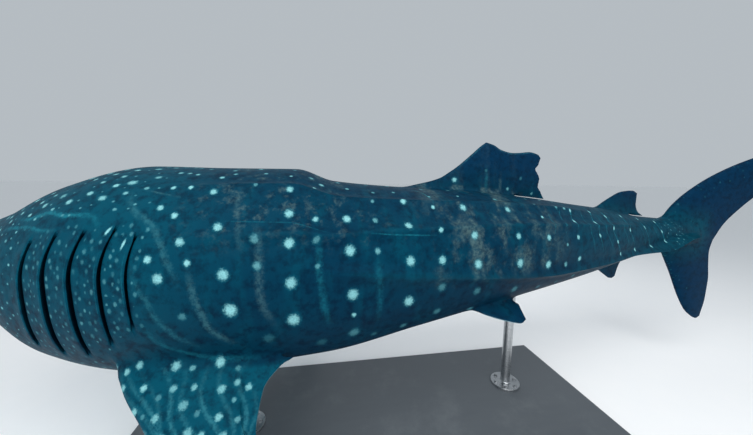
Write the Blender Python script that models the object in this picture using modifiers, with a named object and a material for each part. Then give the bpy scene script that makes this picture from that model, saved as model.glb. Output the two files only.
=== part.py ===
"""A life-size whale shark, swimming, held on a plain display stand.

Metres, +Z up. The head points to -X and the shark's left side faces -Y. The origin is the
centre of the underside of the stand's base. The body is lofted along a midline that bends
sideways as the fish swims, and each fin is a patch between four edge curves, given thickness.
"""

import math

import bmesh
import bpy
import numpy as np
from mathutils import Vector

# Driving sizes
TOTAL_LENGTH = 7.0
AXIS_HEIGHT = 1.20
STAND_STATION = 2.66
STRAIGHT_STATION = 2.10
TOUCH_GAP = 0.0003
FIT_GAP = 0.0005

# Where the body is divided, as distances from the snout along the midline
HEAD_END = 0.98
SHOULDER_END = 2.10
TRUNK_END = 4.20
STALK_END = 5.72

# Heading of the midline in degrees, against distance from the snout
HEADINGS = (
    (0.0, -19.5), (0.7, -19.0), (1.1, -15.2), (1.5, -6.3), (2.1, 0.0), (2.8, 4.0), (3.5, 6.8),
    (4.2, 8.1), (4.75, 7.6), (5.15, 4.0), (5.46, -1.0), (6.0, -10.0), (6.6, -15.0), (7.0, -16.0),
)

# Outline of the body without its fins: distance from the snout, top, bottom and half width
OUTLINE = (
    (0.00, -0.004, -0.036, 0.365),
    (0.02, 0.022, -0.066, 0.380),
    (0.06, 0.064, -0.104, 0.396),
    (0.14, 0.120, -0.162, 0.414),
    (0.35, 0.208, -0.266, 0.432),
    (0.70, 0.337, -0.401, 0.440),
    (1.05, 0.480, -0.540, 0.524),
    (1.40, 0.555, -0.579, 0.573),
    (1.75, 0.550, -0.575, 0.583),
    (2.14, 0.551, -0.550, 0.563),
    (2.36, 0.482, -0.534, 0.534),
    (2.80, 0.446, -0.455, 0.485),
    (3.30, 0.420, -0.374, 0.443),
    (3.80, 0.372, -0.302, 0.398),
    (4.20, 0.321, -0.249, 0.348),
    (4.60, 0.272, -0.197, 0.274),
    (5.00, 0.203, -0.148, 0.194),
    (5.40, 0.163, -0.115, 0.128),
    (5.72, 0.115, -0.080, 0.066),
)
HEAD_SQUARENESS = 2.2
BODY_SQUARENESS = 2.3
TAIL_SQUARENESS = 2.0

# Ridges along each side. A crest is the station and the share of the half height it runs at;
# then come the stations where the ridge starts, is full and ends, and its height
HIGH_CREST = ((1.5, 0.82), (4.4, 0.82))
MIDDLE_CREST = ((1.5, 0.44), (2.1, 0.44), (2.6, 0.52), (5.0, 0.50))
LOW_CREST = ((2.0, 0.20), (2.4, 0.14), (2.64, 0.06), (3.03, -0.09), (3.44, -0.26), (3.72, -0.35),
             (4.06, -0.39), (4.50, -0.43), (5.10, -0.38), (5.46, 0.0), (5.72, 0.05))
RIDGES = (
    (HIGH_CREST, 1.55, 2.00, 4.30, 0.018),
    (MIDDLE_CREST, 1.60, 2.10, 4.90, 0.022),
    (LOW_CREST, 2.05, 2.60, 5.90, 0.028),
)
RIDGE_HALF_WIDTH = 0.11
KEEL_START = 4.55
KEEL_FULL = 5.30
KEEL_HEIGHT = 0.075

# Mouth
MOUTH_SWEEP = 0.17
MOUTH_SWEEP_END = 0.60
MOUTH_DEPTH = 0.060
LIP_ROWS = ((0.0, 0.0), (0.008, 0.006), (0.018, 0.006), (0.027, -0.003), (0.040, -0.001))
HEAD_STATIONS = (0.070, 0.110, 0.170, 0.240, 0.330, 0.440, 0.560, 0.690, 0.840)

# Gill slits on each side
GILL_STATIONS = (1.148, 1.248, 1.348, 1.452, 1.548)
GILL_WIDTHS = (0.014, 0.014, 0.013, 0.012, 0.009)
GILL_DEPTH = 0.050
GILL_FLAP = 0.014
GILL_TOPS = (0.46, 0.50, 0.51, 0.54, 0.49)
GILL_FEET = (-0.48, -0.54, -0.52, -0.40, -0.26)
GILL_MIDDLE = 0.12
GILL_BOW_TOP = 0.048
GILL_BOW_FOOT = 0.012

# Eye, spiracle and nostril
EYE_STATION = 0.30
EYE_SHARE = -0.10
EYE_RADIUS = 0.030
EYE_SINK = 0.014
LID_RADIUS = 0.034
LID_THICKNESS = 0.008
SPIRACLE_STATION = 0.50
SPIRACLE_RADIUS = 0.018
NOSTRIL_STATION = 0.032
NOSTRIL_ANGLE = 0.82
NOSTRIL_RADIUS = 0.020

# First dorsal fin, worn down to a ragged stump: station and height above the back
DORSAL_SINK = -0.035
DORSAL_LEADING = ((2.70, DORSAL_SINK), (2.86, 0.014), (3.00, 0.048), (3.09, 0.080), (3.15, 0.118),
                  (3.21, 0.160), (3.31, 0.245), (3.395, 0.322), (3.435, 0.352))
DORSAL_TOP = ((3.435, 0.352), (3.50, 0.342), (3.56, 0.318), (3.64, 0.309),
              (3.73, 0.321), (3.83, 0.340), (3.90, 0.332), (3.925, 0.312))
DORSAL_TRAILING = ((3.98, 0.035), (3.950, 0.064), (3.918, 0.103), (3.928, 0.145),
                   (3.912, 0.187), (3.882, 0.220), (3.905, 0.254), (3.925, 0.312))
DORSAL_ROOT_END = 3.63
DORSAL_HALF_THICKNESS = 0.040

# Second dorsal fin: station and height above the back
SECOND_LEADING = ((4.48, DORSAL_SINK), (4.60, 0.035), (4.72, 0.115), (4.83, 0.180), (4.93, 0.210))
SECOND_TOP = ((4.93, 0.210), (4.98, 0.216), (5.03, 0.200))
SECOND_TRAILING = ((5.13, 0.022), (5.06, 0.050), (5.030, 0.110), (5.03, 0.200))
SECOND_ROOT_END = 4.92
SECOND_HALF_THICKNESS = 0.026

# Anal fin: station and depth below the belly
ANAL_LEADING = ((4.48, DORSAL_SINK), (4.60, 0.030), (4.70, 0.105), (4.80, 0.180))
ANAL_TOP = ((4.80, 0.180), (4.84, 0.190), (4.875, 0.178))
ANAL_TRAILING = ((5.00, 0.020), (4.93, 0.050), (4.895, 0.110), (4.875, 0.178))
ANAL_ROOT_END = 4.85
ANAL_HALF_THICKNESS = 0.022

# Caudal fin: station and height above the midline
CAUDAL_CORE = ((5.44, 0.012), (5.62, 0.012), (5.78, 0.004), (5.925, -0.025))
UPPER_LEADING = ((5.44, 0.012), (5.36, 0.130), (5.42, 0.240), (5.52, 0.345), (5.64, 0.440), (5.80, 0.545),
                 (6.01, 0.655), (6.20, 0.735), (6.55, 0.870), (6.88, 0.985))
UPPER_TIP = ((6.88, 0.985), (6.95, 1.000), (6.97, 0.975))
UPPER_TRAILING = ((5.925, -0.025), (6.00, 0.116), (6.13, 0.269), (6.26, 0.395), (6.45, 0.560),
                  (6.70, 0.745), (6.88, 0.880), (6.97, 0.975))
LOWER_LEADING = ((5.44, 0.012), (5.385, -0.090), (5.43, -0.170), (5.53, -0.340), (5.665, -0.600),
                 (5.76, -0.740), (5.835, -0.800))
LOWER_TIP = ((5.835, -0.800), (5.87, -0.812), (5.905, -0.790))
LOWER_TRAILING = ((5.925, -0.025), (5.903, -0.146), (5.915, -0.270), (5.935, -0.430),
                  (5.932, -0.610), (5.905, -0.790))
LOBE_HALF_THICKNESS = 0.052

# Pectoral fins in their own plane: distance back along the root, and out along the span
PECTORAL_STATION = 1.43
PECTORAL_SIDE = 0.445
PECTORAL_HEIGHT = -0.315
PECTORAL_DROOP = 45.0
PECTORAL_PITCH = 4.0
PECTORAL_CURL = 0.10
PECTORAL_SINK = -0.10
PECTORAL_LEADING = ((-0.02, PECTORAL_SINK), (-0.01, 0.03), (0.065, 0.165), (0.190, 0.300), (0.330, 0.450),
                    (0.490, 0.640), (0.640, 0.810), (0.745, 0.900))
PECTORAL_TIP = ((0.745, 0.900), (0.785, 0.920), (0.815, 0.890))
PECTORAL_TRAILING = ((0.715, 0.030), (0.650, 0.080), (0.597, 0.170), (0.588, 0.300), (0.645, 0.460),
                     (0.750, 0.640), (0.800, 0.790), (0.815, 0.890))
PECTORAL_ROOT_END = 0.62
PECTORAL_HALF_THICKNESS = 0.050

# Pelvic fins in their own plane
PELVIC_STATION = 3.04
PELVIC_SIDE = 0.235
PELVIC_HEIGHT = -0.240
PELVIC_DROOP = 30.0
PELVIC_SINK = -0.10
PELVIC_LEADING = ((-0.02, PELVIC_SINK), (0.01, 0.010), (0.12, 0.110), (0.24, 0.190), (0.33, 0.232))
PELVIC_TIP = ((0.33, 0.232), (0.385, 0.246), (0.430, 0.228))
PELVIC_TRAILING = ((0.520, 0.012), (0.480, 0.060), (0.450, 0.140), (0.430, 0.228))
PELVIC_ROOT_END = 0.36
PELVIC_HALF_THICKNESS = 0.026

# Half thickness at the edge of every fin
FIN_EDGE = 0.0035

# Stand
BASE_LENGTH = 3.20
BASE_WIDTH = 1.20
BASE_HEIGHT = 0.060
BASE_BEVEL = 0.008
ROD_STATIONS = (("front", 1.78), ("rear", 3.74))
ROD_RADIUS = 0.035
ROD_FLANGE_RADIUS = 0.110
ROD_FLANGE_HEIGHT = 0.016
ROD_SINK = 0.090

# Fineness of the meshes
HEAD_COUNT = 44
FLANK_PARTS = (3, 3, 4, 6)
GILL_PARTS = (3, 3, 6, 9)
FIN_CHORD_STEPS = 12
FIN_SPAN_STEPS = 8
DORSAL_SPAN_STEPS = 13
PECTORAL_SPAN_STEPS = 11
LOBE_SPAN_STEPS = 12
LID_STEPS = 16
LID_SIDES = 6


def clear_scene():
    """Removes the startup scene's objects."""
    for obj in list(bpy.data.objects):
        bpy.data.objects.remove(obj)


def smooth_step(low, high, value):
    """0 below low, 1 above high, and a smooth rise between."""
    share = np.clip((value - low) / (high - low), 0.0, 1.0)
    return share * share * (3.0 - 2.0 * share)


def through(knots, values, where):
    """A smooth curve through the knots that never overshoots them."""
    knots = np.asarray(knots, float)
    values = np.asarray(values, float)
    steps = np.diff(knots)
    slopes = np.diff(values) / steps
    tangents = np.zeros(len(knots))
    same = slopes[:-1] * slopes[1:] > 0.0
    inner = np.zeros(len(slopes) - 1)
    first, second = slopes[:-1][same], slopes[1:][same]
    inner[same] = 2.0 * first * second / (first + second)
    tangents[1:-1] = inner
    tangents[0], tangents[-1] = slopes[0], slopes[-1]
    where = np.clip(np.asarray(where, float), knots[0], knots[-1])
    index = np.clip(np.searchsorted(knots, where, side="right") - 1, 0, len(steps) - 1)
    share = (where - knots[index]) / steps[index]
    square, cube = share ** 2, share ** 3
    return (
        (2 * cube - 3 * square + 1) * values[index]
        + (cube - 2 * square + share) * steps[index] * tangents[index]
        + (3 * square - 2 * cube) * values[index + 1]
        + (cube - square) * steps[index] * tangents[index + 1]
    )


def make_midline():
    """Stations, places and headings along the bent midline, in world X and Y."""
    stations = np.linspace(0.0, TOTAL_LENGTH, 701)
    angles = np.radians(through(*zip(*HEADINGS), stations))
    middle = (angles[1:] + angles[:-1]) / 2.0
    steps = np.diff(stations)
    along = np.concatenate([[0.0], np.cumsum(np.cos(middle) * steps)])
    across = np.concatenate([[0.0], np.cumsum(np.sin(middle) * steps)])
    along -= np.interp(STAND_STATION, stations, along)
    across -= np.interp(STRAIGHT_STATION, stations, across)
    return stations, along, across, angles


MIDLINE = make_midline()


def place(station, side, height):
    """World place of a point given along, across and above the midline. +side is to +Y."""
    stations, along, across, angles = MIDLINE
    angle = np.interp(station, stations, angles)
    return Vector((
        float(np.interp(station, stations, along) - math.sin(angle) * side),
        float(np.interp(station, stations, across) + math.cos(angle) * side),
        float(AXIS_HEIGHT + height),
    ))


def outline_at(station):
    """Top, bottom and half width of the body at a station."""
    table = np.array(OUTLINE)
    return tuple(float(through(table[:, 0], table[:, column], station)) for column in (1, 2, 3))


def squareness_at(station):
    """How square the body's section is: 2 is an ellipse."""
    knots = (0.0, 0.7, 1.6, 4.2, STALK_END)
    values = (2.2, HEAD_SQUARENESS, BODY_SQUARENESS, BODY_SQUARENESS, TAIL_SQUARENESS)
    return float(through(knots, values, station))


def crest_share(row, station):
    """Share of the half height at which a ridge's crest runs."""
    knots, shares = zip(*RIDGES[row][0])
    return float(through(knots, shares, station))


def ridge_reach(station):
    """Half the angle that a ridge covers at this station."""
    top, bottom, half_width = outline_at(station)
    size = math.hypot((top - bottom) / 2.0, half_width)
    return RIDGE_HALF_WIDTH * min(1.6, 0.75 / size)


def share_to_angle(share, squareness):
    """Angle from the top of the section at which the surface has this share of the half height."""
    return math.acos(math.copysign(abs(share) ** (squareness / 2.0), share))


def ridge_lift(station, angle):
    """How far the three ridges and the tail's keel stand out of the flank at this angle."""
    squareness = squareness_at(station)
    reach = ridge_reach(station)
    lift = 0.0
    for row, (_, start, full, end, height) in enumerate(RIDGES):
        rise = height * smooth_step(start, full, station) * (1.0 - smooth_step(end - 0.5, end, station))
        if row == len(RIDGES) - 1:
            rise += KEEL_HEIGHT * smooth_step(KEEL_START, KEEL_FULL, station)
        distance = (angle - share_to_angle(crest_share(row, station), squareness)) / reach
        lift += rise * max(0.0, 1.0 - abs(distance)) ** 1.5
    return lift


def body_point(station, angle, side, inward=0.0):
    """A point of the body's surface. angle runs from the top (0) to the belly (pi); side is 1 or -1."""
    top, bottom, half_width = outline_at(station)
    power = 2.0 / squareness_at(station)
    across = math.sin(angle) ** power if math.sin(angle) > 1e-9 else 0.0
    upward = math.copysign(abs(math.cos(angle)) ** power, math.cos(angle))
    lift = ridge_lift(station, angle) - inward
    sweep = MOUTH_SWEEP * (1.0 - smooth_step(0.0, MOUTH_SWEEP_END, station)) * across ** 2.4
    return place(
        station + sweep,
        side * across * (half_width + lift),
        (top + bottom) / 2.0 + upward * ((top - bottom) / 2.0 + lift),
    )


def ring_of(station, angles, inward=0.0):
    """A closed ring of the body at a station, from the top down the +Y side and up the -Y side."""
    down = [body_point(station, angle, 1, inward) for angle in angles]
    up = [body_point(station, angle, -1, inward) for angle in angles[-2:0:-1]]
    return down + up


def flank_angles(station, parts=FLANK_PARTS):
    """Angles of a ring's points on one side, with close points at each ridge."""
    squareness = squareness_at(station)
    reach = ridge_reach(station)
    crests = [share_to_angle(crest_share(row, station), squareness) for row in range(len(RIDGES))]
    marks = [0.0, *crests, math.pi]
    angles = []
    for first, last, count in zip(marks[:-1], marks[1:], parts):
        low = first + (reach if first > 0.0 else 0.0)
        high = last - (reach if last < math.pi else 0.0)
        angles += [first] if first == 0.0 else [first, low]
        angles += list(np.linspace(low, high, count)[1:])
    return angles


def object_from(name, mesh_builder):
    """A new mesh object from a bmesh, with its faces pointing out."""
    bmesh.ops.recalc_face_normals(mesh_builder, faces=mesh_builder.faces)
    mesh = bpy.data.meshes.new(name)
    mesh_builder.to_mesh(mesh)
    mesh_builder.free()
    return bpy.data.objects.new(name, mesh)


def loft(rings, front_cap="face"):
    """A bmesh through rings of equal count, closed at both ends."""
    built = bmesh.new()
    rows = [[built.verts.new(point) for point in ring] for ring in rings]
    count = len(rows[0])
    for near, far in zip(rows[:-1], rows[1:]):
        for i in range(count):
            j = (i + 1) % count
            if i < count // 2:
                built.faces.new((near[i], near[j], far[j]))
                built.faces.new((near[i], far[j], far[i]))
            else:
                built.faces.new((near[i], near[j], far[i]))
                built.faces.new((near[j], far[j], far[i]))
    built.faces.new(rows[-1])
    if front_cap == "face":
        built.faces.new(rows[0])
    else:
        close_slit(built, rows[0])
    return built


def close_slit(built, ring):
    """Closes a flat ring by joining its upper edge to its lower edge."""
    half, quarter = len(ring) // 2, len(ring) // 4
    for turn in (1, -1):
        for i in range(quarter):
            corners = [ring[turn * i], ring[turn * (i + 1)],
                       ring[turn * (half - i - 1)], ring[turn * (half - i)]]
            built.faces.new(list(dict.fromkeys(corners)))


def finish_node(obj, collection, material, smooth_angle=40.0):
    """Puts a finished object in its collection with its material and smooth shading."""
    collection.objects.link(obj)
    obj.data.materials.append(material)
    obj.data.shade_smooth()
    obj.data.set_sharp_from_angle(angle=math.radians(smooth_angle))
    return obj


def make_material(name, colour, roughness, metallic=0.0):
    """A plain Principled material."""
    material = bpy.data.materials.new(name)
    material.use_nodes = True
    shader = material.node_tree.nodes["Principled BSDF"]
    shader.inputs["Base Color"].default_value = (*colour, 1.0)
    shader.inputs["Roughness"].default_value = roughness
    shader.inputs["Metallic"].default_value = metallic
    return material


def make_head():
    """The head from the lips to just before the gills, with the mouth as a real slit."""
    angles = list(np.linspace(0.0, math.pi, HEAD_COUNT // 2 + 1))
    rings = [mouth_ring(angles, MOUTH_DEPTH, 0.003), mouth_ring(angles, MOUTH_DEPTH / 2.0, 0.005)]
    rings += [ring_of(station, angles, -swell) for station, swell in LIP_ROWS]
    rings += [ring_of(station, angles) for station in HEAD_STATIONS]
    rings.append(ring_of(HEAD_END - TOUCH_GAP, angles))
    return object_from("head", loft(rings, front_cap="slit"))


def mouth_ring(angles, depth, half_gap):
    """A flat ring inside the mouth, this far behind the lips."""
    top, bottom, half_width = outline_at(0.0)
    middle = (top + bottom) / 2.0
    narrow = half_width - depth * 0.5
    points = []
    for side, run in ((1, angles), (-1, angles[-2:0:-1])):
        for angle in run:
            across = max(0.0, math.sin(angle)) ** 0.9
            sweep = MOUTH_SWEEP * across ** 2.4
            points.append(place(depth + sweep, side * across * narrow, middle + half_gap * math.cos(angle)))
    return points


def gill_window(share, slit):
    """1 along the length of a gill slit and 0 past its ends. share is of the half height."""
    top, foot = GILL_TOPS[slit], GILL_FEET[slit]
    return float(smooth_step(foot - 0.05, foot + 0.10, share) * (1.0 - smooth_step(top - 0.10, top + 0.05, share)))


def gill_bow(share, slit):
    """How far back the ends of a slit curve."""
    above = share > GILL_MIDDLE
    end, bow = (GILL_TOPS[slit], GILL_BOW_TOP) if above else (GILL_FEET[slit], GILL_BOW_FOOT)
    reach = min((share - GILL_MIDDLE) / (end - GILL_MIDDLE), 1.2)
    return bow * reach ** 1.8


def gill_rows():
    """Rows of the gills: slit, offset along the body, offset under the flap, and how far in, at full depth."""
    rows = []
    for slit, width in enumerate(GILL_WIDTHS):
        rows += [
            (slit, -0.045, 0.0, -0.4 * GILL_FLAP),
            (slit, -0.004, 0.003, -GILL_FLAP),
            (slit, 0.0, -0.014, GILL_DEPTH),
            (slit, width * 0.55, -0.010, GILL_DEPTH),
            (slit, width, 0.003, GILL_FLAP * 0.3),
        ]
    return rows


def make_gill_region():
    """The gill region and shoulder: five slits a side under raised flaps, and the pectoral roots."""
    angles = flank_angles(SHOULDER_END, GILL_PARTS)
    squareness = squareness_at(1.3)
    shares = [math.copysign(abs(math.cos(a)) ** (2.0 / squareness), math.cos(a)) for a in angles]
    rings = [ring_of(HEAD_END, angles), ring_of(HEAD_END + 0.025, angles)]
    for slit, offset, under, inward in gill_rows():
        down = []
        for angle, share in zip(angles, shares):
            window = gill_window(share, slit)
            station = GILL_STATIONS[slit] + offset + gill_bow(share, slit) + under * window
            down.append((station, angle, inward * window))
        ring = [body_point(s, a, 1, i) for s, a, i in down]
        ring += [body_point(s, a, -1, i) for s, a, i in down[-2:0:-1]]
        rings.append(ring)
    for station in (1.66, 1.78, 1.90, 2.00, SHOULDER_END - TOUCH_GAP):
        rings.append(ring_of(station, angles))
    return object_from("gill_region", loft(rings))


def make_length(name, stations):
    """A plain length of the body through these stations."""
    return object_from(name, loft([ring_of(station, flank_angles(station)) for station in stations]))


def make_trunk():
    """The trunk, from the shoulder to behind the first dorsal fin."""
    stations = [SHOULDER_END, 2.16, 2.24, 2.32, 2.42, *np.linspace(2.56, 4.06, 11), TRUNK_END - TOUCH_GAP]
    return make_length("trunk", stations)


def make_stalk():
    """The tail stalk with its keels, ending in a wedge inside the caudal fin."""
    stations = [*np.linspace(TRUNK_END, 5.40, 10), 5.50, 5.60, STALK_END]
    return make_length("tail_stalk", stations)


def resample(points, shares):
    """Points at these shares of the length of a smooth curve through the given ones."""
    points = np.asarray(points, float)
    runs = np.concatenate([[0.0], np.cumsum(np.linalg.norm(np.diff(points, axis=0), axis=1))])
    fine = np.linspace(0.0, runs[-1], 200)
    dense = np.stack([through(runs, points[:, k], fine) for k in range(2)], axis=1)
    length = np.concatenate([[0.0], np.cumsum(np.linalg.norm(np.diff(dense, axis=0), axis=1))])
    return np.stack([np.interp(shares * length[-1], length, dense[:, k]) for k in range(2)], axis=1)


def fin_patch(bottom, tip, leading, trailing, chord, span):
    """A grid of points between four edges. The first index runs back along the chord, the second out."""
    low, high = resample(bottom, chord), resample(tip, chord)
    front, rear = resample(leading, span), resample(trailing, span)
    a = chord[:, None, None]
    b = span[None, :, None]
    corners = (
        (1 - a) * (1 - b) * low[0] + a * (1 - b) * low[-1] + (1 - a) * b * high[0] + a * b * high[-1]
    )
    edges = (1 - b) * low[:, None] + b * high[:, None] + (1 - a) * front[None] + a * rear[None]
    return edges - corners


def chord_shares(steps):
    """Shares of the chord, closer together at the leading edge."""
    return np.linspace(0.0, 1.0, steps) ** 1.35


def fin_half_thickness(chord, span, root, free_from, flare=0.0):
    """Half thickness over the grid: round in front, thin behind and at the tip."""
    a = chord[:, None]
    b = span[None, :]
    foil = 2.6 * np.sqrt(a) * (1.0 - a)
    taper = (1.0 - 0.62 * b) * np.sqrt(1.0 - b ** 4)
    closed = np.where(a > free_from, smooth_step(-0.04, 0.22, b), 1.0)
    swell = 1.0 + flare * np.exp(-b / 0.10) * (a < free_from)
    return FIN_EDGE + (root - FIN_EDGE) * foil * taper * closed * swell


def solid_from_patch(points, half_thickness, to_world):
    """A closed bmesh with the patch on both faces and a narrow wall round its edge."""
    built = bmesh.new()
    rows, columns = half_thickness.shape
    faces = []
    for side in (1.0, -1.0):
        faces.append([
            [built.verts.new(to_world(points[i, j], side * half_thickness[i, j])) for j in range(columns)]
            for i in range(rows)
        ])
    left, right = faces
    for i in range(rows - 1):
        for j in range(columns - 1):
            for grid, turn in ((left, 1), (right, -1)):
                first, second = grid[i][j], grid[i + 1][j]
                third, fourth = grid[i + 1][j + 1], grid[i][j + 1]
                built.faces.new((first, second, third)[::turn])
                built.faces.new((first, third, fourth)[::turn])
    rim = [(i, 0) for i in range(rows)] + [(rows - 1, j) for j in range(1, columns)]
    rim += [(i, columns - 1) for i in range(rows - 2, -1, -1)] + [(0, j) for j in range(columns - 2, 0, -1)]
    for (i, j), (k, m) in zip(rim, rim[1:] + rim[:1]):
        built.faces.new((left[i][j], left[k][m], right[k][m], right[i][j]))
    return built


def root_line(leading, root_end, trailing, sink, lift):
    """The lower edge of a fin: inside the body along its root, then free to the rear tip."""
    start, tip = leading[0], trailing[0]
    return ((start[0], start[1]), (root_end - 0.04, sink), (root_end + 0.01, lift), (tip[0], tip[1]))


def make_median_fin(name, leading, tip, trailing, root_end, thickness, steps=FIN_SPAN_STEPS, under=False):
    """A fin on the midline, above the back or, when under is set, below the belly."""
    bottom = root_line(leading, root_end, trailing, DORSAL_SINK, 0.014)
    chord, span = chord_shares(FIN_CHORD_STEPS), np.linspace(0.0, 1.0, steps)
    grid = fin_patch(bottom, tip, leading, trailing, chord, span)
    free_from = (root_end - leading[0][0]) / (trailing[0][0] - leading[0][0])
    half = fin_half_thickness(chord, span, thickness, free_from, flare=0.9)

    def to_world(point, side):
        top, bottom_of_body, _ = outline_at(point[0])
        height = bottom_of_body - point[1] if under else top + point[1]
        return place(point[0], side, height)

    return object_from(name, solid_from_patch(grid, half, to_world))


def make_lobe(name, leading, tip, trailing, gap):
    """One lobe of the caudal fin. Both lobes start at the core line, a touch gap apart."""
    core = [(station, height + gap) for station, height in CAUDAL_CORE]
    front = [core[0], *leading[1:]]
    rear = [core[-1], *trailing[1:]]
    chord, span = chord_shares(FIN_CHORD_STEPS), np.linspace(0.0, 1.0, LOBE_SPAN_STEPS)
    grid = fin_patch(core, tip, front, rear, chord, span)
    half = fin_half_thickness(chord, span, LOBE_HALF_THICKNESS, 2.0, flare=0.35)
    return object_from(name, solid_from_patch(grid, half, lambda point, side: place(point[0], side, point[1])))


def make_paired_fin(name, side, station, reach, height, droop, pitch, curl, edges, root_end, thickness, steps):
    """A pectoral or pelvic fin in its own sloping plane. side is 1 for +Y."""
    leading, tip, trailing, sink = edges
    bottom = root_line(leading, root_end, trailing, sink, 0.010)
    chord, span = chord_shares(FIN_CHORD_STEPS), np.linspace(0.0, 1.0, steps)
    grid = fin_patch(bottom, tip, leading, trailing, chord, span)
    free_from = root_end / trailing[0][0]
    half = fin_half_thickness(chord, span, thickness, free_from, flare=0.25)
    fall = math.radians(droop)
    tilt = math.radians(pitch)
    span_length = tip[1][1]

    def to_world(point, out):
        back, span = point
        bend = curl * max(0.0, span / span_length) ** 2
        across = span * math.cos(fall) - (out - bend) * math.sin(fall)
        above = -span * math.sin(fall) - (out - bend) * math.cos(fall) - back * math.sin(tilt)
        return place(station + back, side * (reach + across), height + above)

    return object_from(name, solid_from_patch(grid, half, to_world))


def grown(obj, distance):
    """A hidden copy of a node, larger by this distance all round, to cut its neighbours with."""
    copy = obj.data.copy()
    builder = bmesh.new()
    builder.from_mesh(copy)
    builder.normal_update()
    moves = [(vertex, vertex.normal * distance) for vertex in builder.verts]
    for vertex, move in moves:
        vertex.co += move
    builder.to_mesh(copy)
    builder.free()
    cutter = bpy.data.objects.new(obj.name + "_cutter", copy)
    cutter.hide_render = True
    cutter.display_type = "WIRE"
    return cutter


def cut(obj, cutter, operation="DIFFERENCE"):
    """Takes the cutter out of the object, or adds it."""
    modifier = obj.modifiers.new("cut_" + cutter.name, "BOOLEAN")
    modifier.operation = operation
    modifier.object = cutter
    modifier.solver = "EXACT"


def ball(name, radius, stretch, centre, segments=12, rings=8):
    """A ball or egg shape."""
    builder = bmesh.new()
    bmesh.ops.create_uvsphere(builder, u_segments=segments, v_segments=rings, radius=radius)
    for vertex in builder.verts:
        vertex.co = Vector((vertex.co.x * stretch[0], vertex.co.y * stretch[1], vertex.co.z * stretch[2])) + centre
    return object_from(name, builder)


def ring_round(name, radius, thickness, centre, axis):
    """A ring round a point, square to the axis."""
    turn = axis.to_track_quat("Z", "Y")
    rings = []
    for i in range(LID_STEPS):
        around = 2.0 * math.pi * i / LID_STEPS
        ring = []
        for j in range(LID_SIDES):
            across = 2.0 * math.pi * j / LID_SIDES
            reach = radius + thickness * math.cos(across)
            local = Vector((reach * math.cos(around), reach * math.sin(around), thickness * math.sin(across)))
            ring.append(centre + turn @ local)
        rings.append(ring)
    built = bmesh.new()
    rows = [[built.verts.new(point) for point in ring] for ring in rings]
    for near, far in zip(rows, rows[1:] + rows[:1]):
        for i in range(LID_SIDES):
            j = (i + 1) % LID_SIDES
            built.faces.new((near[i], near[j], far[j], far[i]))
    return object_from(name, built)


def eye_centre(side, station, share, sink):
    """Centre of a ball that stands sunk into the side of the head."""
    angle = share_to_angle(share, squareness_at(station))
    surface = body_point(station, angle, side)
    centre = place(station + MOUTH_SWEEP * 0.5, 0.0, 0.0)
    inward = Vector((centre.x - surface.x, centre.y - surface.y, 0.0)).normalized()
    return surface + inward * sink


def make_base():
    """The stand's flat base with softened edges."""
    builder = bmesh.new()
    bmesh.ops.create_cube(builder, size=1.0)
    for vertex in builder.verts:
        vertex.co.x *= BASE_LENGTH
        vertex.co.y *= BASE_WIDTH
        vertex.co.z = (vertex.co.z + 0.5) * BASE_HEIGHT
    base = object_from("stand_base", builder)
    bevel = base.modifiers.new("soft_edges", "BEVEL")
    bevel.width = BASE_BEVEL
    bevel.segments = 2
    bevel.limit_method = "ANGLE"
    return base


def make_rod(label, station):
    """A turned steel rod with a foot flange, from the base up into the belly's line."""
    foot = place(station, 0.0, 0.0)
    low = BASE_HEIGHT + TOUCH_GAP
    belly = AXIS_HEIGHT + outline_at(station)[1]
    profile = (
        (0.0, belly + ROD_SINK), (ROD_RADIUS, belly + ROD_SINK), (ROD_RADIUS, low + ROD_FLANGE_HEIGHT + 0.02),
        (ROD_RADIUS + 0.012, low + ROD_FLANGE_HEIGHT), (ROD_FLANGE_RADIUS, low + ROD_FLANGE_HEIGHT),
        (ROD_FLANGE_RADIUS, low), (0.0, low),
    )
    builder = bmesh.new()
    corners = [builder.verts.new((radius, 0.0, height)) for radius, height in profile]
    for first, second in zip(corners[:-1], corners[1:]):
        builder.edges.new((first, second))
    mesh = bpy.data.meshes.new("stand_rod_" + label)
    builder.to_mesh(mesh)
    builder.free()
    rod = bpy.data.objects.new("stand_rod_" + label, mesh)
    rod.location = (foot.x, foot.y, 0.0)
    screw = rod.modifiers.new("turn", "SCREW")
    screw.steps = screw.render_steps = 24
    screw.use_merge_vertices = True
    screw.merge_threshold = 0.0001
    return rod


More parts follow.
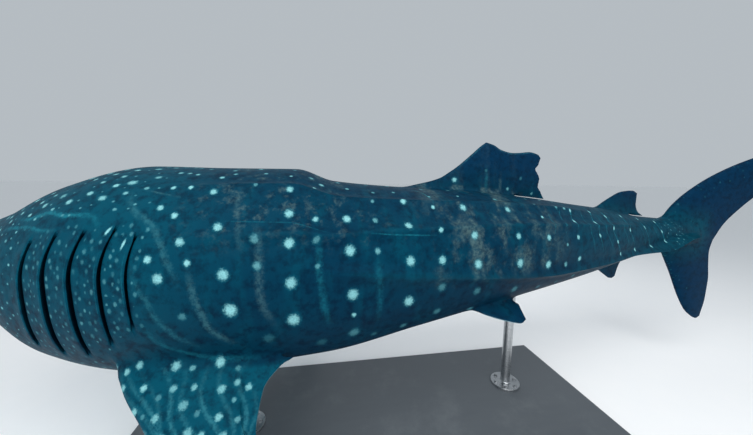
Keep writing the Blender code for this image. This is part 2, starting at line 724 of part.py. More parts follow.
def build():
    """Makes every node and puts it in the scene."""
    clear_scene()
    fish = bpy.data.collections.new("whale_shark")
    cutters = bpy.data.collections.new("cutters")
    for collection in (fish, cutters):
        bpy.context.scene.collection.children.link(collection)
    skin = make_material("skin", (0.020, 0.075, 0.095), 0.5)
    eye_material = make_material("eye", (0.010, 0.012, 0.015), 0.15)
    steel = make_material("steel", (0.55, 0.56, 0.58), 0.3, 1.0)
    board = make_material("board", (0.16, 0.17, 0.18), 0.5)

    head, gills, trunk, stalk = make_head(), make_gill_region(), make_trunk(), make_stalk()
    for node in (head, gills, trunk, stalk):
        finish_node(node, fish, skin)
    body_cutters = {}
    for node in (gills, trunk, stalk):
        body_cutters[node.name] = grown(node, FIT_GAP)
        cutters.objects.link(body_cutters[node.name])

    dress_head(head, fish, cutters, eye_material)

    fins = [
        (make_median_fin("dorsal_fin_first", DORSAL_LEADING, DORSAL_TOP, DORSAL_TRAILING,
                         DORSAL_ROOT_END, DORSAL_HALF_THICKNESS, DORSAL_SPAN_STEPS), "trunk"),
        (make_median_fin("dorsal_fin_second", SECOND_LEADING, SECOND_TOP, SECOND_TRAILING,
                         SECOND_ROOT_END, SECOND_HALF_THICKNESS), "tail_stalk"),
        (make_median_fin("anal_fin", ANAL_LEADING, ANAL_TOP, ANAL_TRAILING,
                         ANAL_ROOT_END, ANAL_HALF_THICKNESS, under=True), "tail_stalk"),
        (make_lobe("caudal_fin_upper", UPPER_LEADING, UPPER_TIP, UPPER_TRAILING, TOUCH_GAP / 2), "tail_stalk"),
        (make_lobe("caudal_fin_lower", LOWER_LEADING, LOWER_TIP, LOWER_TRAILING, -TOUCH_GAP / 2), "tail_stalk"),
    ]
    for label, side in (("left", -1), ("right", 1)):
        edges = (PECTORAL_LEADING, PECTORAL_TIP, PECTORAL_TRAILING, PECTORAL_SINK)
        fins.append((make_paired_fin("pectoral_fin_" + label, side, PECTORAL_STATION, PECTORAL_SIDE,
                                     PECTORAL_HEIGHT, PECTORAL_DROOP, PECTORAL_PITCH, PECTORAL_CURL,
                                     edges, PECTORAL_ROOT_END, PECTORAL_HALF_THICKNESS,
                                     PECTORAL_SPAN_STEPS), "gill_region"))
        edges = (PELVIC_LEADING, PELVIC_TIP, PELVIC_TRAILING, PELVIC_SINK)
        fins.append((make_paired_fin("pelvic_fin_" + label, side, PELVIC_STATION, PELVIC_SIDE,
                                     PELVIC_HEIGHT, PELVIC_DROOP, 0.0, 0.0,
                                     edges, PELVIC_ROOT_END, PELVIC_HALF_THICKNESS, FIN_SPAN_STEPS), "trunk"))
    plain = grown(make_length("plain_gill_region", (HEAD_END, 1.20, 1.45, 1.70, 1.90, SHOULDER_END)), FIT_GAP)
    cutters.objects.link(plain)
    for fin, root in fins:
        finish_node(fin, fish, skin)
        cut(fin, body_cutters[root])
        if root == "gill_region":
            cut(fin, plain)

    finish_node(make_base(), fish, board)
    for (label, station), root in zip(ROD_STATIONS, ("gill_region", "trunk")):
        rod = finish_node(make_rod(label, station), fish, steel)
        cut(rod, body_cutters[root])


def dress_head(head, fish, cutters, eye_material):
    """Sets the eyes in their sockets and opens the spiracles and nostrils."""
    for label, side in (("left", -1), ("right", 1)):
        centre = eye_centre(side, EYE_STATION, EYE_SHARE, EYE_SINK)
        eye = ball("eye_" + label, EYE_RADIUS, (1.0, 1.0, 1.0), centre)
        finish_node(eye, fish, eye_material)
        out = body_point(EYE_STATION, share_to_angle(EYE_SHARE, squareness_at(EYE_STATION)), side) - centre
        lid = ring_round("lid_" + label, LID_RADIUS, LID_THICKNESS, centre + out * 0.8, out.normalized())
        lid.hide_render = True
        lid.display_type = "WIRE"
        cutters.objects.link(lid)
        cut(head, lid, "UNION")
        openings = [ball("socket_" + label, EYE_RADIUS + TOUCH_GAP, (1.0, 1.0, 1.0), centre)]
        place_of_spiracle = eye_centre(side, SPIRACLE_STATION, EYE_SHARE + 0.06, 0.0)
        openings.append(ball("spiracle_" + label, SPIRACLE_RADIUS, (1.0, 0.8, 1.3), place_of_spiracle, 12, 8))
        nostril = body_point(NOSTRIL_STATION, NOSTRIL_ANGLE, side)
        openings.append(ball("nostril_" + label, NOSTRIL_RADIUS, (0.8, 1.5, 0.6), nostril, 12, 8))
        for opening in openings:
            opening.hide_render = True
            opening.display_type = "WIRE"
            cutters.objects.link(opening)
            cut(head, opening)


build()
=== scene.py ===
"""Looks of a life-size whale shark on a display stand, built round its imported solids.

Metres, +Z up, head to -X, the shark's left side to -Y. One skin stands for every node of flesh.
It repeats the rules that shape the solids, with far finer rows, and fuses body and fins into one
closed surface with soft roots. The spots and pale lines are laid out on that surface by rule.
"""

import itertools
import logging
import math
from collections.abc import Iterator
from dataclasses import dataclass
from enum import Enum
from functools import cached_property

import bmesh
import bpy
import numpy as np
from bpy.types import Material, Mesh, Node, NodeSocket, NodeTree, Object
from mathutils import Matrix, Vector
from mathutils.bvhtree import BVHTree
from mathutils.kdtree import KDTree


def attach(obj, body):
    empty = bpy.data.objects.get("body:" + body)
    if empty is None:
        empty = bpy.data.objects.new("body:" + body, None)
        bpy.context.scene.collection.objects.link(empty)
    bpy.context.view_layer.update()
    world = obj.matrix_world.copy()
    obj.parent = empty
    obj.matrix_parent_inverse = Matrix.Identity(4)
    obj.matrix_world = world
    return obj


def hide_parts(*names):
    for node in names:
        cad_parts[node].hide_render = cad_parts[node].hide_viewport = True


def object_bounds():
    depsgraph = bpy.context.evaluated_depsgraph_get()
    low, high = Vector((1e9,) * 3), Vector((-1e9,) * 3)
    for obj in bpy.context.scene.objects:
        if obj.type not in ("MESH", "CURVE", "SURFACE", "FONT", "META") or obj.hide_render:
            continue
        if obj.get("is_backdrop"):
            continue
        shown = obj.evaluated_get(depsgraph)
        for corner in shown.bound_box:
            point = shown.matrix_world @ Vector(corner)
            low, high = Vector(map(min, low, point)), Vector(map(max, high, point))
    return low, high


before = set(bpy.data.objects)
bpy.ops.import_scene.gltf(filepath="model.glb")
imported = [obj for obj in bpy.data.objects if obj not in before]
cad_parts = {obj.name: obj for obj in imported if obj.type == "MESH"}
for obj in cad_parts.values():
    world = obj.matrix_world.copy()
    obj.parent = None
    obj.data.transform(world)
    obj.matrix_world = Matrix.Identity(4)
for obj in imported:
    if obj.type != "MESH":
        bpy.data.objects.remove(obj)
CAD_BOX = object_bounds()
LOG = logging.getLogger("whale_shark")
BODY = "root"
Span = tuple[float, float]
Curve = tuple[Span, ...]
Colour = tuple[float, float, float, float]
Array = np.ndarray
Frame = tuple[Array, Array, Array, Array]
CURVE_STEPS = 200
FACES = (1.0, -1.0)


class Side(Enum):
    """The two flanks, as the sign of their distance across the midline."""

    LEFT = -1
    RIGHT = 1

    @property
    def label(self) -> str:
        """The side's name as nodes spell it."""
        return self.name.lower()


def smooth_step(low: float, high: float, value: Array) -> Array:
    """0 for a value below low, 1 above high, and a smooth rise between."""
    share = np.clip((np.asarray(value, float) - low) / (high - low), 0.0, 1.0)
    return share * share * (3.0 - 2.0 * share)


def through(knots: Array, values: Array, where: Array) -> Array:
    """A smooth curve through knots that never overshoots them.

    Args:
        knots: Rising places of the knots.
        values: The curve's value at each knot.
        where: Places to look up.

    Returns:
        The curve's values there.
    """
    knots = np.asarray(knots, float)
    values = np.asarray(values, float)
    steps = np.diff(knots)
    slopes = np.diff(values) / steps
    tangents = np.zeros(len(knots))
    same = slopes[:-1] * slopes[1:] > 0.0
    inner = np.zeros(len(slopes) - 1)
    first, second = slopes[:-1][same], slopes[1:][same]
    inner[same] = 2.0 * first * second / (first + second)
    tangents[1:-1] = inner
    tangents[0], tangents[-1] = slopes[0], slopes[-1]
    where = np.clip(np.asarray(where, float), knots[0], knots[-1])
    index = np.clip(np.searchsorted(knots, where, side="right") - 1, 0, len(steps) - 1)
    share = (where - knots[index]) / steps[index]
    square, cube = share ** 2, share ** 3
    return (
        (2 * cube - 3 * square + 1) * values[index]
        + (cube - 2 * square + share) * steps[index] * tangents[index]
        + (3 * square - 2 * cube) * values[index + 1]
        + (cube - square) * steps[index] * tangents[index + 1]
    )


def join_halves(halves: list[Array]) -> Array:
    """One ring from two runs of points that both go from its top to its foot."""
    return np.concatenate([halves[0], halves[1][-2:0:-1]])


def run_lengths(points: Array) -> Array:
    """Distance along a run of points from the first to each."""
    return np.concatenate([[0.0], np.cumsum(np.linalg.norm(np.diff(points, axis=0), axis=1))])


def along_curve(points: Curve, shares: Array) -> Array:
    """Points at shares of the length of a smooth plane curve.

    Args:
        points: The curve's own points.
        shares: Shares of its length.

    Returns:
        One row of two numbers for each share.
    """
    given = np.asarray(points, float)
    runs = run_lengths(given)
    fine = np.linspace(0.0, runs[-1], CURVE_STEPS)
    dense = np.stack([through(runs, given[:, k], fine) for k in range(2)], axis=1)
    length = run_lengths(dense)
    return np.stack([np.interp(shares * length[-1], length, dense[:, k]) for k in range(2)], axis=1)


def add_object(name: str, data: bpy.types.ID) -> Object:
    """A new object in the scene."""
    obj = bpy.data.objects.new(name, data)
    bpy.context.scene.collection.objects.link(obj)
    return obj


def mesh_object(name: str, points: Array, faces: list) -> Object:
    """A new object with outward faces.

    Args:
        name: Name of the object and its mesh.
        points: Vertex places.
        faces: Corner numbers of each face.

    Returns:
        The object, linked to the scene.
    """
    mesh = bpy.data.meshes.new(name)
    mesh.from_pydata(points.tolist(), [], faces)
    builder = bmesh.new()
    builder.from_mesh(mesh)
    bmesh.ops.recalc_face_normals(builder, faces=builder.faces)
    builder.to_mesh(mesh)
    builder.free()
    return add_object(name, mesh)


def ring_faces(rings: int, count: int) -> list[list[int]]:
    """Faces that join each ring of points to the next."""
    faces = []
    for near, i in itertools.product(range(0, (rings - 1) * count, count), range(count)):
        j = (i + 1) % count
        faces.append([near + i, near + j, near + count + j, near + count + i])
    return faces


def plain_mesh(obj: Object) -> Mesh:
    """A new mesh of an object as its modifiers shape it."""
    return bpy.data.meshes.new_from_object(obj.evaluated_get(bpy.context.evaluated_depsgraph_get()))


def dress(obj: Object, material: Material, crease: float = 180.0) -> Object:
    """Gives a piece its material and a smooth face, with edges above the crease angle kept sharp."""
    obj.data.materials.append(material)
    obj.data.shade_smooth()
    if crease < 180.0:
        obj.data.set_sharp_from_angle(angle=math.radians(crease))
    return obj


def read(items: bpy.types.bpy_prop_collection, name: str, width: int = 3, kind: type = float) -> Array:
    """One row of numbers for each vertex, edge, corner or face of a mesh."""
    flat = np.empty(len(items) * width, kind)
    items.foreach_get(name, flat)
    return flat.reshape(-1, width)


def store(mesh: Mesh, name: str, domain: str, values: Array) -> None:
    """Writes a vector attribute.

    Args:
        mesh: The mesh to write to.
        name: The attribute's name.
        domain: POINT or CORNER.
        values: Three numbers for each element.
    """
    layer = mesh.attributes.new(name, "FLOAT_VECTOR", domain)
    layer.data.foreach_set("vector", np.ascontiguousarray(values, dtype=np.float32).ravel())


@dataclass(frozen=True)
class Midline:
    """The bent line that the shark's length is measured along."""

    total_length: float = 7.0
    axis_height: float = 1.20
    stand_station: float = 2.66
    straight_station: float = 2.10
    steps: int = 700
    unbend_rounds: int = 12
    headings: Curve = (
        (0.0, -19.5), (0.7, -19.0), (1.1, -15.2), (1.5, -6.3), (2.1, 0.0), (2.8, 4.0), (3.5, 6.8),
        (4.2, 8.1), (4.75, 7.6), (5.15, 4.0), (5.46, -1.0), (6.0, -10.0), (6.6, -15.0), (7.0, -16.0),
    )

    @cached_property
    def run(self) -> tuple[Array, ...]:
        """Stations, places along X and Y, and headings in radians."""
        stations = np.linspace(0.0, self.total_length, self.steps + 1)
        angles = np.radians(through(*zip(*self.headings), stations))
        middle = (angles[1:] + angles[:-1]) / 2.0
        steps = np.diff(stations)
        along = np.concatenate([[0.0], np.cumsum(np.cos(middle) * steps)])
        across = np.concatenate([[0.0], np.cumsum(np.sin(middle) * steps)])
        along -= np.interp(self.stand_station, stations, along)
        across -= np.interp(self.straight_station, stations, across)
        return stations, along, across, angles

    def place(self, station: Array, side: Array, height: Array) -> Array:
        """World places.

        Args:
            station: Distance from the snout along the midline.
            side: Distance across it, + to +Y.
            height: Height above it.

        Returns:
            X, Y and Z in the last axis.
        """
        stations, along, across, angles = self.run
        angle = np.interp(station, stations, angles)
        x = np.interp(station, stations, along) - np.sin(angle) * side
        y = np.interp(station, stations, across) + np.cos(angle) * side
        return np.stack(np.broadcast_arrays(x, y, self.axis_height + np.asarray(height)), axis=-1)

    def unbend(self, points: Array) -> tuple[Array, Array, Array]:
        """The reverse of place.

        Args:
            points: World places, one row each.

        Returns:
            Station, side and height of each.
        """
        stations, along, across, angles = self.run
        station = np.interp(points[:, 0], along, stations)
        side = np.zeros_like(station)
        for _ in range(self.unbend_rounds):
            angle = np.interp(station, stations, angles)
            dx = points[:, 0] - np.interp(station, stations, along)
            dy = points[:, 1] - np.interp(station, stations, across)
            station = station + dx * np.cos(angle) + dy * np.sin(angle)
            side = dy * np.cos(angle) - dx * np.sin(angle)
        return station, side, points[:, 2] - self.axis_height


@dataclass(frozen=True)
class Ridge:
    """A lengthwise ridge of the flank.

    The crest lists stations and the share of the half height that the ridge runs at.
    """

    crest: Curve
    start: float
    full: float
    end: float
    height: float


@dataclass(frozen=True)
class BodyForm:
    """The body without its fins: outline, section, ridges, keel and the sweep of the mouth."""

    midline: Midline = Midline()
    outline: tuple[tuple[float, float, float, float], ...] = (
        (0.00, -0.004, -0.036, 0.365), (0.02, 0.022, -0.066, 0.380), (0.06, 0.064, -0.104, 0.396),
        (0.14, 0.120, -0.162, 0.414), (0.35, 0.208, -0.266, 0.432), (0.70, 0.337, -0.401, 0.440),
        (1.05, 0.480, -0.540, 0.524), (1.40, 0.555, -0.579, 0.573), (1.75, 0.550, -0.575, 0.583),
        (2.14, 0.551, -0.550, 0.563), (2.36, 0.482, -0.534, 0.534), (2.80, 0.446, -0.455, 0.485),
        (3.30, 0.420, -0.374, 0.443), (3.80, 0.372, -0.302, 0.398), (4.20, 0.321, -0.249, 0.348),
        (4.60, 0.272, -0.197, 0.274), (5.00, 0.203, -0.148, 0.194), (5.40, 0.163, -0.115, 0.128),
        (5.72, 0.115, -0.080, 0.066),
    )
    squareness: Curve = ((0.0, 2.2), (0.7, 2.2), (1.6, 2.3), (4.2, 2.3), (5.72, 2.0))
    ridges: tuple[Ridge, ...] = (
        Ridge(((1.5, 0.82), (4.4, 0.82)), 1.55, 2.00, 4.30, 0.018),
        Ridge(((1.5, 0.44), (2.1, 0.44), (2.6, 0.52), (5.0, 0.50)), 1.60, 2.10, 4.90, 0.022),
        Ridge(((2.0, 0.20), (2.4, 0.14), (2.64, 0.06), (3.03, -0.09), (3.44, -0.26), (3.72, -0.35),
               (4.06, -0.39), (4.50, -0.43), (5.10, -0.38), (5.46, 0.0), (5.72, 0.05)),
              2.05, 2.60, 5.90, 0.028),
    )
    ridge_half_width: float = 0.11
    ridge_full_size: float = 0.75
    ridge_widest: float = 1.6
    ridge_fade: float = 0.5
    keel: Span = (4.55, 5.30)
    keel_height: float = 0.075
    keel_fade: float = 5.50
    mouth_sweep: float = 0.17
    mouth_sweep_end: float = 0.60
    mouth_curve: float = 2.4
    end: float = 5.72
    girth_steps: int = 360

    def outline_at(self, station: Array) -> tuple[Array, ...]:
        """Top, bottom and half width at each station."""
        table = np.array(self.outline)
        return tuple(through(table[:, 0], table[:, column], station) for column in (1, 2, 3))

    def squareness_at(self, station: Array) -> Array:
        """How square the section is at each station: 2 is an ellipse."""
        return through(*zip(*self.squareness), station)

    def share_to_angle(self, share: Array, station: Array) -> Array:
        """Angle from the top of the section at which it has this share of the half height."""
        power = self.squareness_at(station) / 2.0
        return np.arccos(np.sign(share) * np.abs(share) ** power)

    def crest_angle(self, ridge: Ridge, station: Array) -> Array:
        """Angle at which a ridge's crest runs at each station."""
        return self.share_to_angle(through(*zip(*ridge.crest), station), station)

    def ridge_reach(self, station: Array) -> Array:
        """Half the angle that a ridge covers at each station."""
        top, bottom, half_width = self.outline_at(station)
        size = np.hypot((top - bottom) / 2.0, half_width)
        return self.ridge_half_width * np.minimum(self.ridge_widest, self.ridge_full_size / size)

    def ridge_lift(self, station: Array, angle: Array) -> Array:
        """How far the ridges and keel stand out of the flank."""
        reach = self.ridge_reach(station)
        lift = np.zeros(np.broadcast(station, angle).shape)
        for ridge in self.ridges:
            rise = ridge.height * smooth_step(ridge.start, ridge.full, station)
            rise = rise * (1.0 - smooth_step(ridge.end - self.ridge_fade, ridge.end, station))
            if ridge is self.ridges[-1]:
                fade = 1.0 - smooth_step(self.keel_fade, self.end, station)
                rise = rise + self.keel_height * smooth_step(*self.keel, station) * fade
            distance = np.abs(angle - self.crest_angle(ridge, station)) / reach
            lift = lift + rise * np.maximum(0.0, 1.0 - distance) ** 1.5
        return lift

    def sweep(self, station: Array, across: Array) -> Array:
        """How far back the mouth's curve moves a point this share of the half width across."""
        fade = 1.0 - smooth_step(0.0, self.mouth_sweep_end, station)
        return self.mouth_sweep * fade * across ** self.mouth_curve

    def surface(
        self, station: Array, angle: Array, side: float, outward: Array = 0.0
    ) -> Array:
        """Places on the body's surface.

        Args:
            station: Distance from the snout, before the mouth's sweep.
            angle: Angle from the top of the section, 0 to pi.
            side: 1 for +Y, -1 for -Y.
            outward: Extra distance out of the surface.

        Returns:
            World places in the last axis.
        """
        station, angle = np.broadcast_arrays(np.asarray(station, float), np.asarray(angle, float))
        top, bottom, half_width = self.outline_at(station)
        power = 2.0 / self.squareness_at(station)
        across = np.maximum(0.0, np.sin(angle)) ** power
        upward = np.sign(np.cos(angle)) * np.abs(np.cos(angle)) ** power
        lift = self.ridge_lift(station, angle) + outward
        return self.midline.place(
            station + self.sweep(station, across),
            side * across * (half_width + lift),
            (top + bottom) / 2.0 + upward * ((top - bottom) / 2.0 + lift),
        )

    def girths(self, station: float) -> tuple[Array, Array]:
        """Angles down one flank and the girth from the back's midline to each."""
        angles = np.linspace(0.0, math.pi, self.girth_steps + 1)
        return angles, run_lengths(self.surface(np.full_like(angles, station), angles, 1.0))

    def angle_at(self, station: float, girth: float) -> float:
        """Angle at which the flank has this girth from the back's midline."""
        angles, girths = self.girths(station)
        return float(np.interp(girth, girths, angles))


@dataclass(frozen=True)
class Gills:
    """Five slits a side, each under a raised flap whose rear edge curls over the opening."""

    stations: tuple[float, ...] = (1.148, 1.248, 1.348, 1.452, 1.548)
    widths: tuple[float, ...] = (0.0125, 0.0135, 0.0120, 0.0095, 0.0060)
    tops: tuple[float, ...] = (0.46, 0.50, 0.51, 0.54, 0.49)
    feet: tuple[float, ...] = (-0.48, -0.54, -0.52, -0.40, -0.26)
    bow_tops: tuple[float, ...] = (0.040, 0.045, 0.050, 0.056, 0.034)
    bow_feet: tuple[float, ...] = (-0.010, -0.002, 0.006, 0.012, 0.012)
    bow_start: Span = (0.99, 1.10)
    bow_end: Span = (1.60, 1.76)
    bow_curve: float = 1.8
    run_out: float = 0.05
    run_in: float = 0.10
    depth: float = 0.050
    flap: float = 0.007
    middle: float = 0.12
    squareness: float = 2.27

    def shares(self, angles: Array) -> Array:
        """Share of the half height at each angle of the gills' section."""
        return np.sign(np.cos(angles)) * np.abs(np.cos(angles)) ** (2.0 / self.squareness)

    def window(self, slit: int, share: Array) -> Array:
        """1 along the length of a slit and 0 past its ends."""
        top, foot = self.tops[slit], self.feet[slit]
        low = smooth_step(foot - self.run_out, foot + self.run_in, share)
        return low * (1.0 - smooth_step(top - self.run_in, top + self.run_out, share))

    def bow(self, station: float, share: Array) -> Array:
        """How far back a row of the skin curves above and below the gills' middle."""
        strength = smooth_step(*self.bow_start, station) * (1.0 - smooth_step(*self.bow_end, station))
        top = np.interp(station, self.stations, self.tops)
        foot = np.interp(station, self.stations, self.feet)
        above = share > self.middle
        end = np.where(above, top, foot)
        reach = np.clip((share - self.middle) / (end - self.middle), 0.0, 1.2)
        back = np.interp(station, self.stations, self.bow_tops)
        low = np.interp(station, self.stations, self.bow_feet)
        return strength * np.where(above, back, low) * reach ** self.bow_curve

    def width(self, slit: int, share: Array) -> Array:
        """How wide a slit gapes: a crescent that tapers to a point at both ends."""
        top, foot = self.tops[slit], self.feet[slit]
        run = np.clip((share - foot) / (top - foot), 0.0, 1.0)
        return self.widths[slit] * np.sin(math.pi * run ** 0.9) ** 1.1

    def profile(self) -> list[tuple[float, float, float]]:
        """Section across a slit, front to back: offset, share of the width added, and height."""
        flap, depth = self.flap, self.depth
        return [
            (-0.050, 0.0, 0.0), (-0.036, 0.0, 0.30 * flap), (-0.022, 0.0, 0.62 * flap),
            (-0.010, 0.0, 0.90 * flap), (-0.003, 0.0, flap), (0.0010, 0.0, 0.93 * flap),
            (0.0030, 0.0, 0.60 * flap), (0.001, 0.0, 0.10 * flap), (-0.006, 0.0, -0.010),
            (-0.012, 0.0, -0.030), (-0.0135, 0.0, -depth), (-0.010, 0.5, -depth),
            (-0.003, 1.0, -0.030), (0.001, 1.0, -0.012), (0.003, 1.0, -0.0035),
            (0.009, 1.0, -0.0006), (0.022, 1.0, 0.0),
        ]


@dataclass(frozen=True)
class Row:
    """One ring of the skin: its station, and its place in a slit's section where it has one."""

    station: float
    slit: int = -1
    offset: float = 0.0
    widening: float = 0.0
    height: float = 0.0


@dataclass(frozen=True)
class Socket:
    """A round feature of the head: an eye's socket, a nostril or a spiracle."""

    centre: Vector
    out: Vector
    radius: float
    stretch: float
    depth: float
    rim: float

    REACH = 3.0
    RIM_AT = 1.22
    RIM_WIDTH = 0.30
    WALL = (0.55, 1.05)

    def offset(self, place: Vector) -> Vector:
        """How a point of the skin moves for this feature."""
        away = place - self.centre
        height = away.dot(self.out)
        flat = away - self.out * height
        level = Vector((flat.x, flat.y, flat.z * self.stretch))
        share = level.length / self.radius
        if share > self.REACH or abs(height) > self.REACH * self.radius:
            return Vector()
        rim = self.rim * math.exp(-((share - self.RIM_AT) / self.RIM_WIDTH) ** 2)
        dent = self.depth * float(1.0 - smooth_step(*self.WALL, share))
        return self.out * (rim - dent)


@dataclass(frozen=True)
class HeadForm:
    """What the head carries: mouth, lips, eyes, nostrils and spiracles."""

    body: BodyForm = BodyForm()
    mouth_depth: float = 0.060
    lip_swell: tuple[float, float, float] = (0.0075, 0.013, 0.009)
    lip_groove: tuple[float, float, float] = (0.0040, 0.030, 0.006)
    eye_station: float = 0.30
    eye_share: float = -0.10
    eye_radius: float = 0.030
    eye_sink: float = 0.014
    spiracle_station: float = 0.50
    spiracle_raise: float = 0.06
    spiracle_radius: float = 0.018
    nostril_station: float = 0.032
    nostril_angle: float = 0.82
    nostril_radius: float = 0.022

    def lip(self, station: float) -> float:
        """How far the lips swell out of the head behind the mouth's edge.

        The swelling and the groove behind it are each a height, a station and a reach.
        """
        swell, groove = (
            height * math.exp(-((station - middle) / reach) ** 2)
            for height, middle, reach in (self.lip_swell, self.lip_groove)
        )
        return swell - groove

    def mouth_row(self, angles: Array, depth: float, half_gap: float) -> Array:
        """World places round a flat ring inside the mouth, at a depth behind the lips."""
        top, bottom, half_width = self.body.outline_at(0.0)
        narrow = half_width - depth * 0.5
        across = np.maximum(0.0, np.sin(angles)) ** 0.9
        height = (top + bottom) / 2.0 + half_gap * np.cos(angles)
        station = depth + self.body.sweep(0.0, across)
        return join_halves([self.body.midline.place(station, side * across * narrow, height)
                            for side in (1, -1)])

    def seat(self, side: Side, station: float, share: float, sink: float) -> tuple[Vector, Vector]:
        """A place on the side of the head, sunk inward, and the way out of the head there."""
        angle = self.body.share_to_angle(share, station)
        surface = Vector(self.body.surface(station, angle, side.value))
        middle = Vector(self.body.midline.place(station + self.body.mouth_sweep * 0.5, 0.0, 0.0))
        inward = Vector((middle.x - surface.x, middle.y - surface.y, 0.0)).normalized()
        return surface + inward * sink, -inward

    def sockets(self) -> Iterator[Socket]:
        """Every round feature of the head, both sides."""
        for side in Side:
            centre, out = self.seat(side, self.eye_station, self.eye_share, 0.0)
            yield Socket(centre, out, self.eye_radius, stretch=1.0, depth=0.030, rim=0.013)
            centre, out = self.seat(side, self.spiracle_station, self.eye_share + self.spiracle_raise, 0.0)
            yield Socket(centre, out, self.spiracle_radius, stretch=0.75, depth=0.020, rim=0.003)
            centre = Vector(self.body.surface(self.nostril_station, self.nostril_angle, side.value))
            tail = Vector(self.body.midline.place(1.0, 0.0, 0.1))
            out = (centre - tail).normalized()
            yield Socket(centre, out, self.nostril_radius, stretch=1.7, depth=0.018, rim=0.004)


@dataclass(frozen=True)
class Fin:
    """A fin as a patch between four edge curves, given a foil's thickness.

    Edge points are places in the fin's own plane. open_from is the share of the chord behind
    which the fin hangs free of the body.
    """

    name: str
    body: BodyForm
    leading: Curve
    tip: Curve
    trailing: Curve
    bottom: Curve
    half_thickness: float
    open_from: float
    flare: float
    chord_steps: int = 26
    span_steps: int = 26
    edge: float = 0.0035
    nick: float = 0.0

    CHORD_SPACING = 1.6
    FRAY_WAVES = (61.0, 23.0)
    FOIL_PEAK = 2.6
    SPAN_TAPER = 0.62
    FREE_EDGE = (-0.04, 0.22)
    FLARE_REACH = 0.10
    MARK_OUT = 0.02
    MARK_STEP = 0.004

    def to_world(self, point: Array, out: Array) -> Array:
        """World places of points of the fin's plane, moved out of it."""
        return self.body.midline.place(point[..., 0], out, point[..., 1])

    def patch(self) -> tuple[Array, Array, Array]:
        """The fin's grid, and the shares of its chord and span."""
        chord = np.linspace(0.0, 1.0, self.chord_steps) ** self.CHORD_SPACING
        span = np.linspace(0.0, 1.0, self.span_steps)
        low, high = along_curve(self.bottom, chord), along_curve(self.tip, chord)
        front, rear = along_curve(self.leading, span), along_curve(self.trailing, span)
        fine, broad = self.FRAY_WAVES
        frayed = self.nick * np.sin(span * fine) * np.sin(span * broad + 0.7) * np.sqrt(span * (1 - span))
        rear = rear + np.stack([frayed, 0.3 * frayed], axis=1)
        a, b = chord[:, None, None], span[None, :, None]
        corners = (1 - a) * (1 - b) * low[0] + a * (1 - b) * low[-1]
        corners = corners + (1 - a) * b * high[0] + a * b * high[-1]
        edges = (1 - b) * low[:, None] + b * high[:, None] + (1 - a) * front[None] + a * rear[None]
        return edges - corners, chord, span

    def thickness(self, chord: Array, span: Array) -> Array:
        """Half thickness over the grid: round in front, thin behind and at the tip."""
        a, b = chord[:, None], span[None, :]
        foil = self.FOIL_PEAK * np.sqrt(a) * (1.0 - a)
        taper = (1.0 - self.SPAN_TAPER * b) * np.sqrt(1.0 - b ** 4)
        closed = np.where(a > self.open_from, smooth_step(*self.FREE_EDGE, b), 1.0)
        swell = 1.0 + self.flare * np.exp(-b / self.FLARE_REACH) * (a < self.open_from)
        return self.edge + (self.half_thickness - self.edge) * foil * taper * closed * swell

    def build(self) -> Object:
        """The fin as one closed mesh."""
        points, chord, span = self.patch()
        half = self.thickness(chord, span)
        rows, columns = half.shape
        faces_of = [self.to_world(points, side * half).reshape(-1, 3) for side in (1.0, -1.0)]
        count = rows * columns
        faces = []
        for i, j in itertools.product(range(rows - 1), range(columns - 1)):
            a, b = i * columns + j, (i + 1) * columns + j
            faces += [[a, b, b + 1], [a, b + 1, a + 1]]
            faces += [[count + b + 1, count + b, count + a], [count + a + 1, count + b + 1, count + a]]
        rim = [i * columns for i in range(rows)]
        rim += [(rows - 1) * columns + j for j in range(1, columns)]
        rim += [i * columns + columns - 1 for i in range(rows - 2, -1, -1)]
        rim += list(range(columns - 2, 0, -1))
        faces += [[a, b, count + b, count + a] for a, b in zip(rim, rim[1:] + rim[:1])]
        return mesh_object(self.name, np.concatenate(faces_of), faces)

    def mark_frame(self, point: Span, face: float) -> Frame:
        """Place, two tangents and normal of a mark on one face of the fin."""
        here, step, out = np.array(point), self.MARK_STEP, face * self.MARK_OUT
        centre = self.to_world(here, out)
        first = self.to_world(here + (step, 0.0), out) - centre
        second = self.to_world(here + (0.0, step), out) - centre
        normal = self.to_world(here, out + face * step) - centre
        return centre, first / np.linalg.norm(first), second / np.linalg.norm(second), normal / step


@dataclass(frozen=True)
class MedianFin(Fin):
    """A fin on the back's or belly's midline. Its points are station and height off the body."""

    under: bool = False

    def to_world(self, point: Array, out: Array) -> Array:
        """World places of points given from the back, or from the belly for a fin under it."""
        top, bottom, _ = self.body.outline_at(point[..., 0])
        height = bottom - point[..., 1] if self.under else top + point[..., 1]
        return self.body.midline.place(point[..., 0], out, height)


@dataclass(frozen=True)
class PairedFin(Fin):
    """A pectoral or pelvic fin in its own sloping plane: distance back and out along the span."""

    side: Side = Side.LEFT
    station: float = 0.0
    reach: float = 0.0
    height: float = 0.0
    droop: float = 0.0
    pitch: float = 0.0
    curl: float = 0.0

    def to_world(self, point: Array, out: Array) -> Array:
        """World places of points of the sloping plane."""
        fall, tilt = math.radians(self.droop), math.radians(self.pitch)
        back, span = point[..., 0], point[..., 1]
        bend = self.curl * np.maximum(0.0, span / self.tip[1][1]) ** 2
        across = span * math.cos(fall) - (out - bend) * math.sin(fall)
        above = -span * math.sin(fall) - (out - bend) * math.cos(fall) - back * math.sin(tilt)
        side = self.side.value * (self.reach + across)
        return self.body.midline.place(self.station + back, side, self.height + above)


def free_root(leading: Curve, root_end: float, trailing: Curve, sink: float, lift: float) -> Curve:
    """A fin's lower edge: sunk in the body to the root's end, then lifted and free to the rear tip."""
    inner_end, free_start = root_end - 0.04, root_end + 0.01
    return (leading[0], (inner_end, sink), (free_start, lift), trailing[0])


